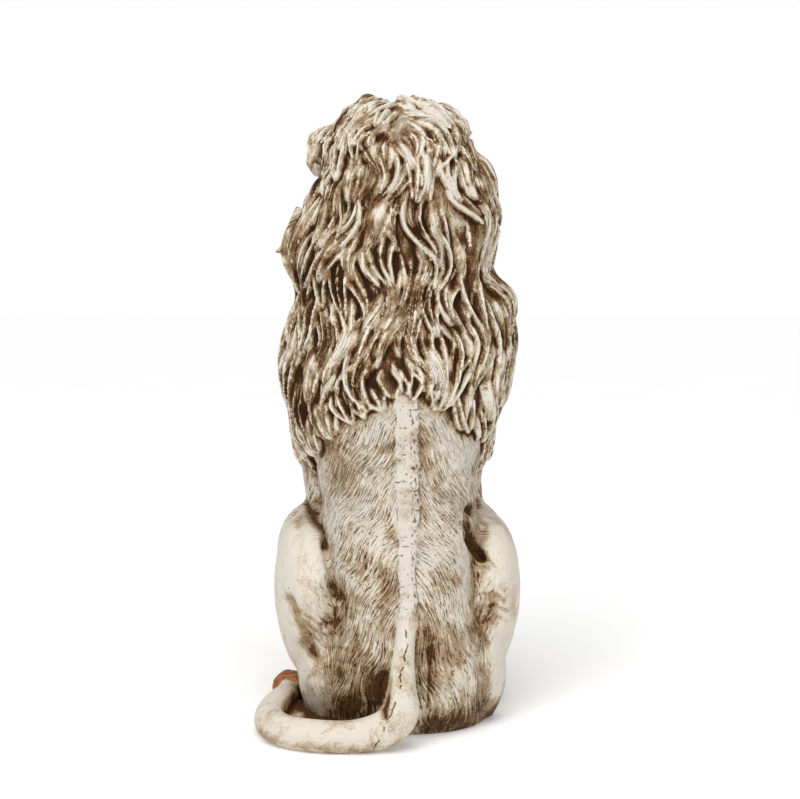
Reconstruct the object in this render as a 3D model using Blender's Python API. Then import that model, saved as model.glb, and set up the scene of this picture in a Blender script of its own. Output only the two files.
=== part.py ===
"""A lion sitting upright, cast in one piece, that stands on its own flat underside.

It looks along -Y, so its back is on the +Y side, and +Z is up. The origin is on the ground, under the middle of
the figure's bounding box. The figure is built up as a modeller would in clay: first the plain masses, fused and
smoothed, then the carved forms laid on them, such as the locks of the mane, the face, the toes and the tail.
"""

import math

import bmesh
import bpy
import numpy as np
from mathutils import Euler, Matrix, Vector
from mathutils.bvhtree import BVHTree

# Driving sizes in metres.
HEIGHT = 0.610  # from the ground to the highest lock of the crown
TAIL_RADIUS = 0.0150  # of the tail where it lies on the ground
TUFT_RADIUS = 0.0205  # of the brush at the tail's end
SPINE_WIDTH = 0.023  # of the flat strip that runs down the back into the tail
SPINE_RAISE = 0.0032  # how far that strip stands out of the back
LOCK_WIDTH = 0.0300  # of a lock of the mane at its widest
LOCK_THICKNESS = 0.0140
LOCK_LENGTH = 0.092
LOCK_SPACING = 0.0195  # between neighbouring locks, across the way they flow
HEM_RISE = 0.016  # how much higher the mane ends on the back than at its sides

# The figure's pose and proportions are written in millimetres of a statue 610 mm high, and follow HEIGHT.
MM = HEIGHT / 610

# Fineness of the clay, and how many triangles the finished solid keeps.
CLAY_VOXEL = 4.0 * MM
CARVING_VOXEL = 2.6 * MM
CLAY_SMOOTHING = 9
CARVING_SMOOTHING = 1
TRIANGLES = 9500
LOCK_STEPS = 11

SEED = 11
HEAD_CENTRE = Vector((-2, -38, 512)) * MM
HEAD_TURN = Euler((math.radians(4), math.radians(-5), math.radians(7)))
FACE_AXIS = HEAD_TURN.to_matrix() @ Vector((0, -1, 0))
HEAD = Matrix.Translation(HEAD_CENTRE) @ HEAD_TURN.to_matrix().to_4x4()


class Clay:
    """Closed forms gathered as points and faces before they are fused."""

    def __init__(self):
        self.points = []
        self.faces = []

    def add(self, points, faces):
        start = len(self.points)
        self.points += [tuple(p) for p in points]
        self.faces += [tuple(start + i for i in face) for face in faces]


def smoothstep(low, high, value):
    """0 at low, 1 at high and a soft step between. low may be the larger one."""
    share = np.clip((value - low) / (high - low), 0.0, 1.0)
    return share * share * (3 - 2 * share)


def flowing(stations, steps):
    """The rows of numbers in stations, with more rows between each two, on a smooth curve through them."""
    rows = np.array(stations, float)
    padded = np.vstack([2 * rows[0] - rows[1], rows, 2 * rows[-1] - rows[-2]])
    found = []
    for a, b, c, d in zip(padded, padded[1:], padded[2:], padded[3:]):
        for t in np.arange(steps) / steps:
            found.append(
                b + 0.5 * t * (c - a + t * (2 * a - 5 * b + 4 * c - d + t * (3 * (b - c) + d - a)))
            )
    found.append(rows[-1])
    return np.array(found)


def skin(clay, rings, place=None):
    """Closes a skin over rings of points, each ring with the same number of them."""
    rings = np.array(rings, float)
    count, around = rings.shape[:2]
    points = rings.reshape(-1, 3)
    if place is not None:
        points = points @ np.array(place.to_3x3()).T + np.array(place.translation)
    faces = []
    for row in range(count - 1):
        low, high = row * around, (row + 1) * around
        for i in range(around):
            j = (i + 1) % around
            faces.append((low + i, low + j, high + j, high + i))
    faces.append(tuple(reversed(range(around))))
    faces.append(tuple(range((count - 1) * around, count * around)))
    clay.add(points, faces)


def rounded(value, squareness):
    return np.sign(value) * np.abs(value) ** (2 / squareness)


def trunk_like(clay, stations, squareness=2.3):
    """A standing mass. Each station is a level: z, its reach to +X and to -X, its front and its back in Y."""
    angles = np.linspace(0, 2 * math.pi, 40, endpoint=False)
    across = rounded(np.cos(angles), squareness)
    along = rounded(np.sin(angles), squareness)
    rings = []
    for z, left, right, front, back in flowing(stations, 4):
        x = np.where(across > 0, left, right) * across
        y = (front + back) / 2 + (back - front) / 2 * along
        rings.append(np.column_stack([x, y, np.full(40, z)]) * MM)
    skin(clay, rings)


def limb(clay, stations, reference=(1, 0, 0), sides=16, steps=4, squareness=2, place=None):
    """A rounded limb. Each station is a point of its axis, then its reach along the reference and across it."""
    rows = flowing(stations, steps) * MM
    angles = np.linspace(0, 2 * math.pi, sides, endpoint=False)
    along = rounded(np.cos(angles), squareness)[:, None]
    across = rounded(np.sin(angles), squareness)[:, None]
    ways = np.gradient(rows[:, :3], axis=0)
    rings = []
    for row, way in zip(rows, ways):
        way = way / np.linalg.norm(way)
        side = np.array(reference, float)
        side -= way * side.dot(way)
        side /= np.linalg.norm(side)
        rings.append(row[:3] + along * side * row[3] + across * np.cross(way, side) * row[4])
    skin(clay, rings, place)


def ball(clay, centre, radii, turn=(0, 0, 0), place=None):
    """An ellipsoid."""
    turned = np.array(Euler([math.radians(a) for a in turn]).to_matrix())
    rings = []
    for lean in np.linspace(-0.5, 0.5, 11)[1:-1] * math.pi:
        angles = np.linspace(0, 2 * math.pi, 18, endpoint=False)
        ring = np.column_stack(
            [np.cos(angles) * math.cos(lean), np.sin(angles) * math.cos(lean), np.full(18, math.sin(lean))]
        )
        rings.append(((ring * radii) @ turned.T + centre) * MM)
    skin(clay, rings, place)


# The plain masses.
def trunk(clay):
    trunk_like(
        clay,
        [
            (-9, 72, 72, -30, 108),
            (6, 89, 87, -44, 124),
            (40, 88, 88, -52, 139),
            (90, 74, 76, -56, 140),
            (140, 66, 68, -62, 131),
            (190, 73, 74, -74, 117),
            (240, 82, 78, -86, 103),
            (290, 88, 88, -92, 90),
            (340, 88, 88, -90, 78),
            (390, 80, 80, -80, 66),
            (440, 64, 64, -66, 50),
        ],
    )
    ball(clay, (0, -60, 70), (60, 42, 116))  # the belly, cast solid between the legs
    for side in (-1, 1):
        ball(clay, (46 * side, -62, 24), (26, 40, 40))


def mane_mass(clay):
    """The mane as one lump, before its locks: the shoulders, the nape and the ruff round the head."""
    trunk_like(
        clay,
        [
            (232, 74, 70, -84, 74),
            (252, 86, 68, -98, 88),
            (275, 99, 85, -112, 95),
            (305, 104, 100, -120, 94),
            (345, 112, 112, -121, 86),
            (380, 104, 112, -112, 79),
            (405, 93, 114, -102, 72),
            (428, 97, 94, -96, 67),
            (450, 108, 89, -92, 66),
            (480, 99, 97, -88, 66),
            (505, 84, 95, -86, 65),
            (530, 71, 92, -84, 60),
            (556, 70, 70, -80, 50),
            (580, 54, 60, -76, 30),
            (595, 44, 50, -66, 6),
            (602, 35, 32, -54, -12),
        ],
        squareness=2.15,
    )
    ball(clay, (67, -28, 553), (17, 24, 21))  # the fuller locks over the ears
    ball(clay, (-55, -26, 568), (17, 24, 20))
    ball(clay, (-76, -30, 527), (22, 26, 24))
    ball(clay, (0, -92, 262), (46, 26, 62))  # the bib on the chest
    ball(clay, (0, -86, 420), (54, 34, 36))  # the beard's root under the jaw


def haunch(clay, side):
    """A folded hind leg: the thigh and knee, the shank that comes back down, and the foot along the ground."""
    ball(clay, (84 * side + 2, 8, 109), (39, 84, 87), turn=(-14, 5 * side, 0))
    ball(clay, (83 * side + 3, -30, 151), (36, 52, 49))
    ball(clay, (70 * side, 46, 44), (33, 58, 52))
    limb(
        clay,
        [
            (82 * side, -52, 118, 26, 30),
            (83 * side, -22, 70, 22, 26),
            (80 * side, 26, 30, 19, 24),
            (78 * side, 48, 12, 16, 20),
        ],
    )
    limb(
        clay,
        [
            (74 * side, 62, 8, 17, 16),
            (76 * side, 20, 9, 19, 18),
            (75 * side, -30, 10, 19, 19),
            (76 * side, -66, 11, 20, 20),
        ],
    )
    ball(clay, (77 * side, -78, 11), (24, 28, 21))


def foreleg(clay, side):
    limb(
        clay,
        [
            (66 * side, -58, 330, 36, 44),
            (68 * side, -62, 270, 31, 40),
            (67 * side, -68, 215, 26, 33),
            (60 * side, -86, 160, 22, 26),
            (52 * side, -100, 105, 19.5, 22),
            (47 * side, -108, 62, 20, 22),
            (45 * side, -114, 26, 21, 24),
            (45 * side, -118, 4, 21, 24),
        ],
    )
    ball(clay, (74 * side, -42, 208), (18, 20, 28))
    ball(clay, (45 * side, -132, 12), (27, 36, 24))


def skull(clay):
    ball(clay, (0, -6, 2), (62, 66, 66), place=HEAD)
    ball(clay, (0, -52, 32), (45, 26, 32), place=HEAD)
    ball(clay, (0, -76, -28), (36, 36, 29), place=HEAD)
    ball(clay, (0, -58, -54), (40, 44, 26), place=HEAD)
    for side in (-1, 1):
        ball(clay, (41 * side, -44, -16), (28, 34, 38), place=HEAD)


def masses():
    clay = Clay()
    trunk(clay)
    mane_mass(clay)
    skull(clay)
    for side in (-1, 1):
        haunch(clay, side)
        foreleg(clay, side)
    return clay


# The mane. These take arrays of points, or a single point, in metres.
def flow(points, normals):
    """The way the hair of the mane falls: away from the face, then back and down."""
    x, y, z = points[..., 0] / MM, points[..., 1] / MM, points[..., 2] / MM
    face = np.array(FACE_AXIS)
    away = points - np.array(HEAD_CENTRE)
    away = away - (away @ face)[..., None] * face
    away = away / (np.linalg.norm(away, axis=-1, keepdims=True) + 1e-9)
    near_face = (smoothstep(30, -70, y) * smoothstep(425, 490, z))[..., None]
    on_top = (smoothstep(540, 592, z))[..., None]
    sideways = smoothstep(8, 80, np.abs(x)) * smoothstep(400, 470, z) * smoothstep(575, 530, z)
    way = np.array((0.0, 0.0, -1.0)) * (1 - 0.75 * on_top) + away * 1.5 * near_face
    way = way + np.array((0.0, 1.0, 0.0)) * (1.3 * on_top + 0.5 * near_face)
    way = way + np.array((1.0, 0.0, 0.0)) * (np.sign(x) * (0.40 * sideways + 0.8 * on_top[..., 0]))[..., None]
    way = way - normals * np.sum(way * normals, axis=-1, keepdims=True)
    return way / (np.linalg.norm(way, axis=-1, keepdims=True) + 1e-9)


def hem_level(points):
    """How low the mane reaches: a wide inverted V on the back, lowest on the sides, and a pointed bib in front."""
    x, y = np.abs(points[..., 0]) / MM, points[..., 1] / MM
    behind = 338 - 1.15 * np.minimum(x, 55) - 0.5 * np.clip(x - 55, 0, 37)
    before = 205 + 0.5 * x
    return (before + (behind - before) * smoothstep(-70, 0, y)) * MM


def on_mane(points):
    x, y, z = np.moveaxis((points - np.array(HEAD_CENTRE)) @ np.array(HEAD_TURN.to_matrix()), -1, 0) / MM
    in_face = ((x / 58) ** 2 + ((z + 6) / 60) ** 2 < 1) & (y < -14)
    return (points[..., 2] > hem_level(points) + 14 * MM) & ~in_face


def shortness(points):
    """1 where the locks are full length, and less on the crown, over the ears and round the face."""
    y, z = points[..., 1] / MM, points[..., 2] / MM
    crown = smoothstep(505, 575, z)
    ruff = smoothstep(0, -60, y) * smoothstep(430, 500, z)
    return 1 - 0.42 * np.maximum(crown, ruff)


def lock_roots(points, normals, chance):
    """Roots spread evenly over the mane: closer across the hair's flow than along it."""
    wanted = np.flatnonzero(on_mane(points))
    points, normals = points[wanted], normals[wanted]
    ways = flow(points, normals)
    sides = np.cross(normals, ways)
    sizes = shortness(points)
    free = np.ones(len(points), bool)
    roots = []
    for i in chance.permutation(len(points)):
        if not free[i]:
            continue
        roots.append((points[i], normals[i], sizes[i]))
        apart = (points - points[i]) / sizes[i]
        reach = (apart @ sides[i] / LOCK_SPACING) ** 2 + (apart @ ways[i] / (0.38 * LOCK_LENGTH)) ** 2
        free &= (reach > 1) | (np.abs(apart @ normals[i]) > 2 * LOCK_WIDTH)
    return roots


def sway(point):
    """How far the hair turns to one side and the other as it falls, in radians, alike for neighbouring locks."""
    x, _, z = point / MM
    slow = math.sin(z / 17 + x / 38 + 1.3 * math.sin(x / 52))
    quick = math.sin(z / 9.5 - x / 21 + 2.0)
    return 0.42 * slow + 0.16 * quick


def hem_rise(point):
    """How much higher the locks end on the back than at the sides and in front."""
    x, y = abs(point[0]) / MM, point[1] / MM
    across = (0.35 + 0.65 * smoothstep(6, 28, x)) * smoothstep(105, 80, x)
    return HEM_RISE * across * smoothstep(-30, 10, y)


def lock_path(surface, root, normal, length, lean):
    """Points of a lock's line over the surface, from root to tip, with the normal at each."""
    point, path = root, []
    for i in range(LOCK_STEPS + 1):
        way = flow(point, normal)
        path.append((point, normal))
        if point[2] < hem_level(point) + hem_rise(point) - 6 * MM and i > 4:
            break
        way = way + np.cross(normal, way) * (sway(point) + lean)
        goal = point + way / np.linalg.norm(way) * (length / LOCK_STEPS)
        near, found = surface.find_nearest(Vector(goal))[:2]
        point, normal = np.array(near), np.array(found)
    return path


def lock(clay, path, width, thickness, profile):
    """One lock: a blade that rises out of the surface, stands off it towards the tip and ends in a point."""
    points = np.array([p for p, _ in path])
    normals = np.array([n for _, n in path])
    ways = np.gradient(points, axis=0)
    sides = np.cross(normals, ways)
    sides /= np.linalg.norm(sides, axis=1, keepdims=True)
    t = np.linspace(0, 1, len(path))
    half = width / 2 * (0.32 + 0.68 * smoothstep(0, 0.45, t)) * (1 - t**2.2) ** 0.85 + 0.5 * MM
    high = thickness * (0.45 + 0.55 * smoothstep(0, 0.5, t)) * (1 - t**5) ** 0.5 + 0.5 * MM
    base = points + normals * (thickness * (-0.66 + 0.56 * t))[:, None]
    rings = []
    for i in range(len(path)):
        rings.append([base[i] + sides[i] * half[i] * u + normals[i] * high[i] * v for u, v in profile])
    skin(clay, rings)


RIDGE = [(-1, 0), (-0.72, 0.55), (-0.3, 0.92), (0, 1), (0.3, 0.92), (0.72, 0.55), (1, 0), (0.5, -0.5), (-0.5, -0.5)]


def mane(clay, surface, points, normals):
    """The locks of the mane, laid over the masses."""
    chance = np.random.default_rng(SEED)
    for root, normal, short in lock_roots(points, normals, chance):
        size, thick, stretch, drift = chance.uniform(0.82, 1.18, 4)
        lean = (3.7 - 2.5 * short) * (drift - 1)
        path = lock_path(surface, root, normal, LOCK_LENGTH * stretch * short, lean)
        if len(path) > 4 and root[2] > hem_level(root) + hem_rise(root) + 14 * MM:
            lock(clay, path, LOCK_WIDTH * size * short**0.5, LOCK_THICKNESS * thick * short**0.2, RIDGE)
    limb(clay, [(92, 2, 494, 10, 7), (101, 4, 476, 9, 6), (109, 2, 460, 6, 4.5), (121, 0, 453, 1.5, 1.5)])


# The other carved forms.
def spine(clay, surface):
    """The flat strip down the middle of the back, which narrows on one side and becomes the tail."""
    half = SPINE_WIDTH / 2 / MM
    stations = []
    for z in np.linspace(336, 104, 9):
        hit = surface.ray_cast(Vector((0, 0.4, z * MM)), Vector((0, -1, 0)))[0]
        narrowed = 0.25 * half * smoothstep(215, 165, z)
        stations.append((narrowed, hit.y / MM, z, half - narrowed, SPINE_RAISE / MM))
    limb(clay, stations, sides=16, steps=2, squareness=4)


def tail(clay):
    """From the spine down to the ground, round the left haunch, and forward to the brush at its end."""
    thick = TAIL_RADIUS / MM
    low = thick - 1.5
    strip = SPINE_WIDTH / 2 / MM
    limb(
        clay,
        [
            (3, 134, 128, 5, strip - 3),
            (5, 141, 104, 8, strip - 2.5),
            (8.5, 149, 78, 11, strip - 1),
            (10.5, 157, 54, thick, strip + 2),
            (13, 163, 33, thick + 2, thick + 4),
            (28, 166, 19.5, thick + 2, thick + 2),
            (56, 166, low + 0.5, thick, thick),
            (88, 160, low, thick, thick),
            (115, 143, low, thick, thick),
            (129.5, 112, low, thick, thick),
            (128, 76, low, thick - 0.5, thick - 0.5),
            (120, 42, low, thick - 1.5, thick - 1.5),
            (111, 14, low, thick - 2.5, thick - 2.5),
            (106, -6, low, thick - 4, thick - 4),
        ],
        reference=(0, 0, 1),
        sides=18,
        steps=4,
    )
    # The casting fills the floor of the curl.
    ball(clay, (80, 100, -3), (50, 62, 12))
    ball(clay, (99, 54, -3), (26, 66, 14))
    brush = TUFT_RADIUS / MM
    limb(
        clay,
        [
            (108, 14, 13, brush * 0.45, brush * 0.5),
            (107, 0, 13, brush * 0.66, brush * 0.85),
            (108, -18, 13, brush * 0.72, brush * 0.95),
            (109, -38, 12, brush * 0.6, brush * 0.75),
            (110, -56, 9, brush * 0.35, brush * 0.4),
            (111, -64, 7, brush * 0.1, brush * 0.1),
        ],
        reference=(0, 0, 1),
    )


def paws(clay):
    """The toes, four to a paw, with the gaps between them, and the claws."""
    for side in (-1, 1):
        for middle, front, reach, spread in ((45, -152, 24, 12), (77, -94, 21, 10.5)):
            for toe in (-1.5, -0.5, 0.5, 1.5):
                x = middle * side + toe * spread
                y = front + 5 * abs(toe)
                ball(clay, (x, y, 9), (spread * 0.57, reach * 0.8, 15.5))
                ball(clay, (x, y - 15, 4), (2.6, 7, 4), turn=(18, 0, 0))


def face(clay):
    limb(
        clay,
        [
            (0, -56, 44, 21, 13),
            (0, -72, 28, 17, 13),
            (0, -93, 8, 17, 13),
            (0, -108, -7, 18.5, 12),
        ],
        place=HEAD,
    )
    ball(clay, (0, -114, -14), (19, 8, 10), place=HEAD)
    ball(clay, (0, -93, -60), (20, 18, 14), place=HEAD)
    for side in (-1, 1):
        ball(clay, (18 * side, -95, -34), (22, 22, 19), place=HEAD)
        ball(clay, (28 * side, -70, 30), (19, 11, 7.5), turn=(0, 4 * side, 16 * side), place=HEAD)
        ball(clay, (28 * side, -68, 16), (10.5, 10, 8.5), place=HEAD)
        ball(clay, (31 * side, -67, 5), (18, 12, 5.5), turn=(0, 12 * side, 16 * side), place=HEAD)
        ear(clay, side)


def ear(clay, side):
    """A round cup that opens forward."""
    rings = []
    angles = np.linspace(0, 2 * math.pi, 20, endpoint=False)
    for depth, grow in ((8, 0.3), (6, 0.8), (-1, 1.0), (-7, 0.97), (-6, 0.78), (2, 0.55), (3, 0.25)):
        ring = [np.cos(angles) * 19 * grow, np.full(20, depth), np.sin(angles) * 21 * grow]
        rings.append(np.column_stack(ring) * MM)
    turn = Euler((math.radians(-8), math.radians(34 * side), math.radians(26 * side)))
    place = Matrix.Translation(Vector((58 * side, -38, 46)) * MM) @ turn.to_matrix().to_4x4()
    skin(clay, rings, HEAD @ place)


# Hollows and folds pressed into the figure from behind. Each is a line in x and z, its width and its depth, and
# one with a negative depth swells the figure instead.
HOLLOWS = [
    ([(68, 192), (66, 152)], 15.0, -6.0),
    ([(94, 202), (85, 191), (77, 181), (76, 170), (74, 155), (71, 137), (64, 125)], 4.2, 4.5),
    ([(-62, 206), (-60, 194), (-61, 182), (-67, 170), (-74, 160)], 4.4, 8.0),
    ([(103, 203), (101, 186), (104, 168)], 5.0, 3.0),
    ([(110, 120), (99, 95), (87, 68)], 6.0, 3.5),
    ([(-83, 122), (-84, 98)], 8.0, 3.0),
    ([(-19, 92), (-22, 36)], 5.0, 2.0),
    ([(25, 62), (28, 36)], 4.2, 3.0),
]


def distance_to_line(places, line):
    nearest = np.full(len(places), np.inf)
    for start, end in zip(line, line[1:]):
        start, span = np.array(start, float), np.array(end, float) - start
        share = np.clip((places - start) @ span / (span @ span), 0, 1)
        nearest = np.minimum(nearest, np.linalg.norm(places - start - share[:, None] * span, axis=1))
    return nearest


def pressed(mesh):
    """Moves the skin inwards along the hollows, on the back of the figure alone."""
    points = np.array([v.co for v in mesh.vertices])
    normals = np.array([v.normal for v in mesh.vertices])
    flat = points[:, (0, 2)] / MM
    depth = np.zeros(len(points))
    for line, width, deep in HOLLOWS:
        depth += deep * MM * np.exp(-((distance_to_line(flat, line) / width) ** 2))
    depth *= smoothstep(-60, -30, points[:, 1] / MM) * smoothstep(-0.2, 0.15, normals[:, 1])
    points -= normals * depth[:, None]
    mesh.vertices.foreach_set("co", points.ravel())
    mesh.update()
    return mesh


# From forms to one solid.
def object_from_clay(name, clay):
    mesh = bpy.data.meshes.new(name)
    mesh.from_pydata(clay.points, [], clay.faces)
    made = bpy.data.objects.new(name, mesh)
    bpy.context.scene.collection.objects.link(made)
    return made


def evaluated(made):
    """The object's mesh with its modifiers applied. The object itself is removed."""
    bpy.context.view_layer.update()
    graph = bpy.context.evaluated_depsgraph_get()
    mesh = bpy.data.meshes.new_from_object(made.evaluated_get(graph))
    bpy.data.objects.remove(made)
    return mesh


def fused(clay, voxel, smoothing):
    """The forms grown together into one skin and softened."""
    made = object_from_clay("forms", clay)
    grow = made.modifiers.new("Fuse", "REMESH")
    grow.mode = "VOXEL"
    grow.voxel_size = voxel
    soften = made.modifiers.new("Soften", "SMOOTH")
    soften.factor = 0.5
    soften.iterations = smoothing
    return evaluated(made)


def thinned(mesh, triangles):
    """The same skin with about that many triangles."""
    made = bpy.data.objects.new("fine", mesh)
    bpy.context.scene.collection.objects.link(made)
    thin = made.modifiers.new("Thin", "DECIMATE")
    thin.ratio = triangles / (2 * len(mesh.polygons))
    return evaluated(made)


def cut_flat(mesh, level, close):
    """Cuts off what is below a level, and closes the cut if close is set."""
    form = bmesh.new()
    form.from_mesh(mesh)
    geometry = list(form.verts) + list(form.edges) + list(form.faces)
    bmesh.ops.bisect_plane(form, geom=geometry, plane_co=(0, 0, level), plane_no=(0, 0, -1), clear_outer=True)
    if close:
        rim = [e for e in form.edges if e.is_boundary]
        bmesh.ops.triangle_fill(form, edges=rim, use_beauty=True, normal=(0, 0, -1))
        bmesh.ops.recalc_face_normals(form, faces=form.faces)
    form.to_mesh(mesh)
    form.free()
    return mesh


def outer_skin(mesh):
    """Keeps only the largest connected skin."""
    form = bmesh.new()
    form.from_mesh(mesh)
    left = set(form.verts)
    islands = []
    while left:
        front = [left.pop()]
        island = list(front)
        while front:
            for edge in front.pop().link_edges:
                for vert in edge.verts:
                    if vert in left:
                        left.remove(vert)
                        front.append(vert)
                        island.append(vert)
        islands.append(island)
    islands.sort(key=len)
    lost = [vert for island in islands[:-1] for vert in island]
    bmesh.ops.delete(form, geom=lost, context="VERTS")
    form.to_mesh(mesh)
    form.free()
    return mesh


def centred(mesh):
    """Moves the figure so that the middle of its bounding box stands over the origin."""
    corners = np.array([v.co for v in mesh.vertices])
    middle = (corners.min(axis=0) + corners.max(axis=0)) / 2
    mesh.transform(Matrix.Translation((-middle[0], -middle[1], 0.0)))
    return mesh


def cast_resin():
    material = bpy.data.materials.new("antique_ivory")
    material.use_nodes = True
    shader = material.node_tree.nodes["Principled BSDF"]
    shader.inputs["Base Color"].default_value = (0.48, 0.41, 0.31, 1)
    shader.inputs["Roughness"].default_value = 0.6
    shader.inputs["Metallic"].default_value = 0.0
    return material


def build():
    for old in list(bpy.data.objects):
        bpy.data.objects.remove(old)
    body = fused(masses(), CLAY_VOXEL, CLAY_SMOOTHING)
    points = np.array([v.co for v in body.vertices])
    normals = np.array([v.normal for v in body.vertices])
    faces = [tuple(p.vertices) for p in body.polygons]
    surface = BVHTree.FromPolygons([Vector(p) for p in points], faces)
    carving = Clay()
    carving.add(points, faces)
    mane(carving, surface, points, normals)
    spine(carving, surface)
    tail(carving)
    paws(carving)
    face(carving)
    form = fused(carving, CARVING_VOXEL, CARVING_SMOOTHING)
    form = cut_flat(pressed(form), -4 * MM, close=False)
    form = outer_skin(thinned(form, TRIANGLES))
    form = centred(cut_flat(form, 0.0, close=True))
    form.shade_smooth()
    form.materials.append(cast_resin())
    lion = bpy.data.objects.new("lion", form)
    bpy.context.scene.collection.objects.link(lion)
    return lion


build()
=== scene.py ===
# %% [markdown]
# # A sitting lion, cast in resin, painted ivory and rubbed with brown
#
# The real thing is a garden ornament about 61 cm high. A modeller made it once in clay, a rubber mould was
# taken, and every copy is resin poured into that mould in one piece. The casting is painted ivory, and then
# a thin brown glaze is brushed over it and wiped off again, so that it stays only in the hollows of the
# carving.
#
# This script follows the same steps. It models the figure in "clay", fuses it into one skin, measures how
# deep each point of that skin lies, and lets the paint use those measurements.
#
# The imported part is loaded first, as a fixed frame. The carved figure made here stands for its one solid.

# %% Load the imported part
import math

import bmesh
import bpy
import numpy as np
from mathutils import Euler, Matrix, Vector
from mathutils.bvhtree import BVHTree


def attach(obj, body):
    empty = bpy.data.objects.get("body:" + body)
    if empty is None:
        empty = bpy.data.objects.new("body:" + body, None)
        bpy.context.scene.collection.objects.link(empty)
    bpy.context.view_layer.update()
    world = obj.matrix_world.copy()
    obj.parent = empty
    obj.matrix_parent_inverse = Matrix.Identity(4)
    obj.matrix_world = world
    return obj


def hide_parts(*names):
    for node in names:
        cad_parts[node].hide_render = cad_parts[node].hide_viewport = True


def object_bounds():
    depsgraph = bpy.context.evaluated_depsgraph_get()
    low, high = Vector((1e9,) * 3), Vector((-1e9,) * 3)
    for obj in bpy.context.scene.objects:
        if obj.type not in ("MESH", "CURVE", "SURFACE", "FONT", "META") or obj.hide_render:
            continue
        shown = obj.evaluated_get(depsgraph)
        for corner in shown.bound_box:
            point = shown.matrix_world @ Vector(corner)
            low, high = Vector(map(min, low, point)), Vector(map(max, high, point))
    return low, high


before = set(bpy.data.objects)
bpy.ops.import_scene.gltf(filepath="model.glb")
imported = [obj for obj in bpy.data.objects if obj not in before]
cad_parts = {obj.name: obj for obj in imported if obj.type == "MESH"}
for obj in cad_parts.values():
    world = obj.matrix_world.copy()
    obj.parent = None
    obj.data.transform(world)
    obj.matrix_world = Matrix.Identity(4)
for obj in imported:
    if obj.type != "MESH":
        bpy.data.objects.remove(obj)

solid_low, solid_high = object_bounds()
print("the solid's box in mm:", [round(v * 1000, 1) for v in (*solid_low, *solid_high)])

# %% [markdown]
# ## Sizes
#
# Blender works in metres, but a figure like this is easier to think about in millimetres. Every length
# below is written in millimetres of a statue 610 mm high and multiplied by MM, so that the whole figure
# follows its height. The numbers that a modeller would want to change, such as a lock's width, have names
# and are given in metres.

# %% Sizes
HEIGHT = 0.610
MM = HEIGHT / 610
TAIL_RADIUS = 0.0150
TUFT_RADIUS = 0.0205
SPINE_WIDTH = 0.023
SPINE_RAISE = 0.0032
LOCK_WIDTH = 0.0300
LOCK_THICKNESS = 0.0140
LOCK_LENGTH = 0.092
LOCK_SPACING = 0.0195
HEM_RISE = 0.016

CLAY_VOXEL = 4.0 * MM
CLAY_SMOOTHING = 9
CARVING_VOXEL = 1.55 * MM
CARVING_SMOOTHING = 1
TRIANGLES = 190_000
LOCK_STEPS = 11
SEED = 11

FIGURE_MIDDLE = Vector((11.387, 6.257, 0)) * MM  # of the solid's box, in the figure's own coordinates
EDGE = Vector((0.05, 0.05, 0.0)) * MM  # how far inside that box the finest carving is held

HEAD_CENTRE = Vector((-2, -38, 512)) * MM
HEAD_TURN = Euler((math.radians(4), math.radians(-5), math.radians(7)))
FACE_AXIS = HEAD_TURN.to_matrix() @ Vector((0, -1, 0))
HEAD = Matrix.Translation(HEAD_CENTRE) @ HEAD_TURN.to_matrix().to_4x4()
print("height", HEIGHT, "m; fineness of the carving", round(CARVING_VOXEL * 1000, 2), "mm")

# %% [markdown]
# ## Clay
#
# A figure is quickest to block out as many simple closed forms that overlap. Each form here is a stack of
# rings of points with a skin closed over it. The forms are only gathered as lists of points and faces,
# because adding thousands of small pieces to a live mesh one at a time would be slow.


# %% A heap of clay, and a skin over rings
class Clay:
    def __init__(self):
        self.points = []
        self.faces = []

    def add(self, points, faces):
        start = len(self.points)
        self.points += [tuple(p) for p in points]
        self.faces += [tuple(start + i for i in face) for face in faces]


def skin(clay, rings, place=None):
    rings = np.array(rings, float)
    count, around = rings.shape[:2]
    points = rings.reshape(-1, 3)
    if place is not None:
        points = points @ np.array(place.to_3x3()).T + np.array(place.translation)
    faces = []
    for row in range(count - 1):
        low, high = row * around, (row + 1) * around
        for i in range(around):
            j = (i + 1) % around
            faces.append((low + i, low + j, high + j, high + i))
    faces.append(tuple(reversed(range(around))))
    faces.append(tuple(range((count - 1) * around, count * around)))
    clay.add(points, faces)


# %% [markdown]
# Two small pieces of arithmetic are used everywhere. `smoothstep` fades from 0 to 1 without a corner, and
# `flowing` runs a smooth curve through a few rows of numbers, so that a limb needs only a handful of
# stations.


# %% Soft steps and smooth curves
def smoothstep(low, high, value):
    share = np.clip((value - low) / (high - low), 0.0, 1.0)
    return share * share * (3 - 2 * share)


def flowing(stations, steps):
    rows = np.array(stations, float)
    padded = np.vstack([2 * rows[0] - rows[1], rows, 2 * rows[-1] - rows[-2]])
    found = []
    for a, b, c, d in zip(padded, padded[1:], padded[2:], padded[3:]):
        for t in np.arange(steps) / steps:
            found.append(
                b + 0.5 * t * (c - a + t * (2 * a - 5 * b + 4 * c - d + t * (3 * (b - c) + d - a)))
            )
    found.append(rows[-1])
    return np.array(found)


def rounded(value, squareness):
    return np.sign(value) * np.abs(value) ** (2 / squareness)


# %% [markdown]
# Three kinds of form are enough for the whole body: a standing mass that has a different reach on each side
# at every level, a limb that follows a bent axis, and a ball stretched into an ellipsoid. `squareness` 2
# gives an ellipse, and more than 2 fills out its corners, as muscle does.


# %% Masses, limbs and balls
def trunk_like(clay, stations, squareness=2.3):
    angles = np.linspace(0, 2 * math.pi, 40, endpoint=False)
    across = rounded(np.cos(angles), squareness)
    along = rounded(np.sin(angles), squareness)
    rings = []
    for z, left, right, front, back in flowing(stations, 4):
        x = np.where(across > 0, left, right) * across
        y = (front + back) / 2 + (back - front) / 2 * along
        rings.append(np.column_stack([x, y, np.full(len(angles), z)]) * MM)
    skin(clay, rings)


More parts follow.
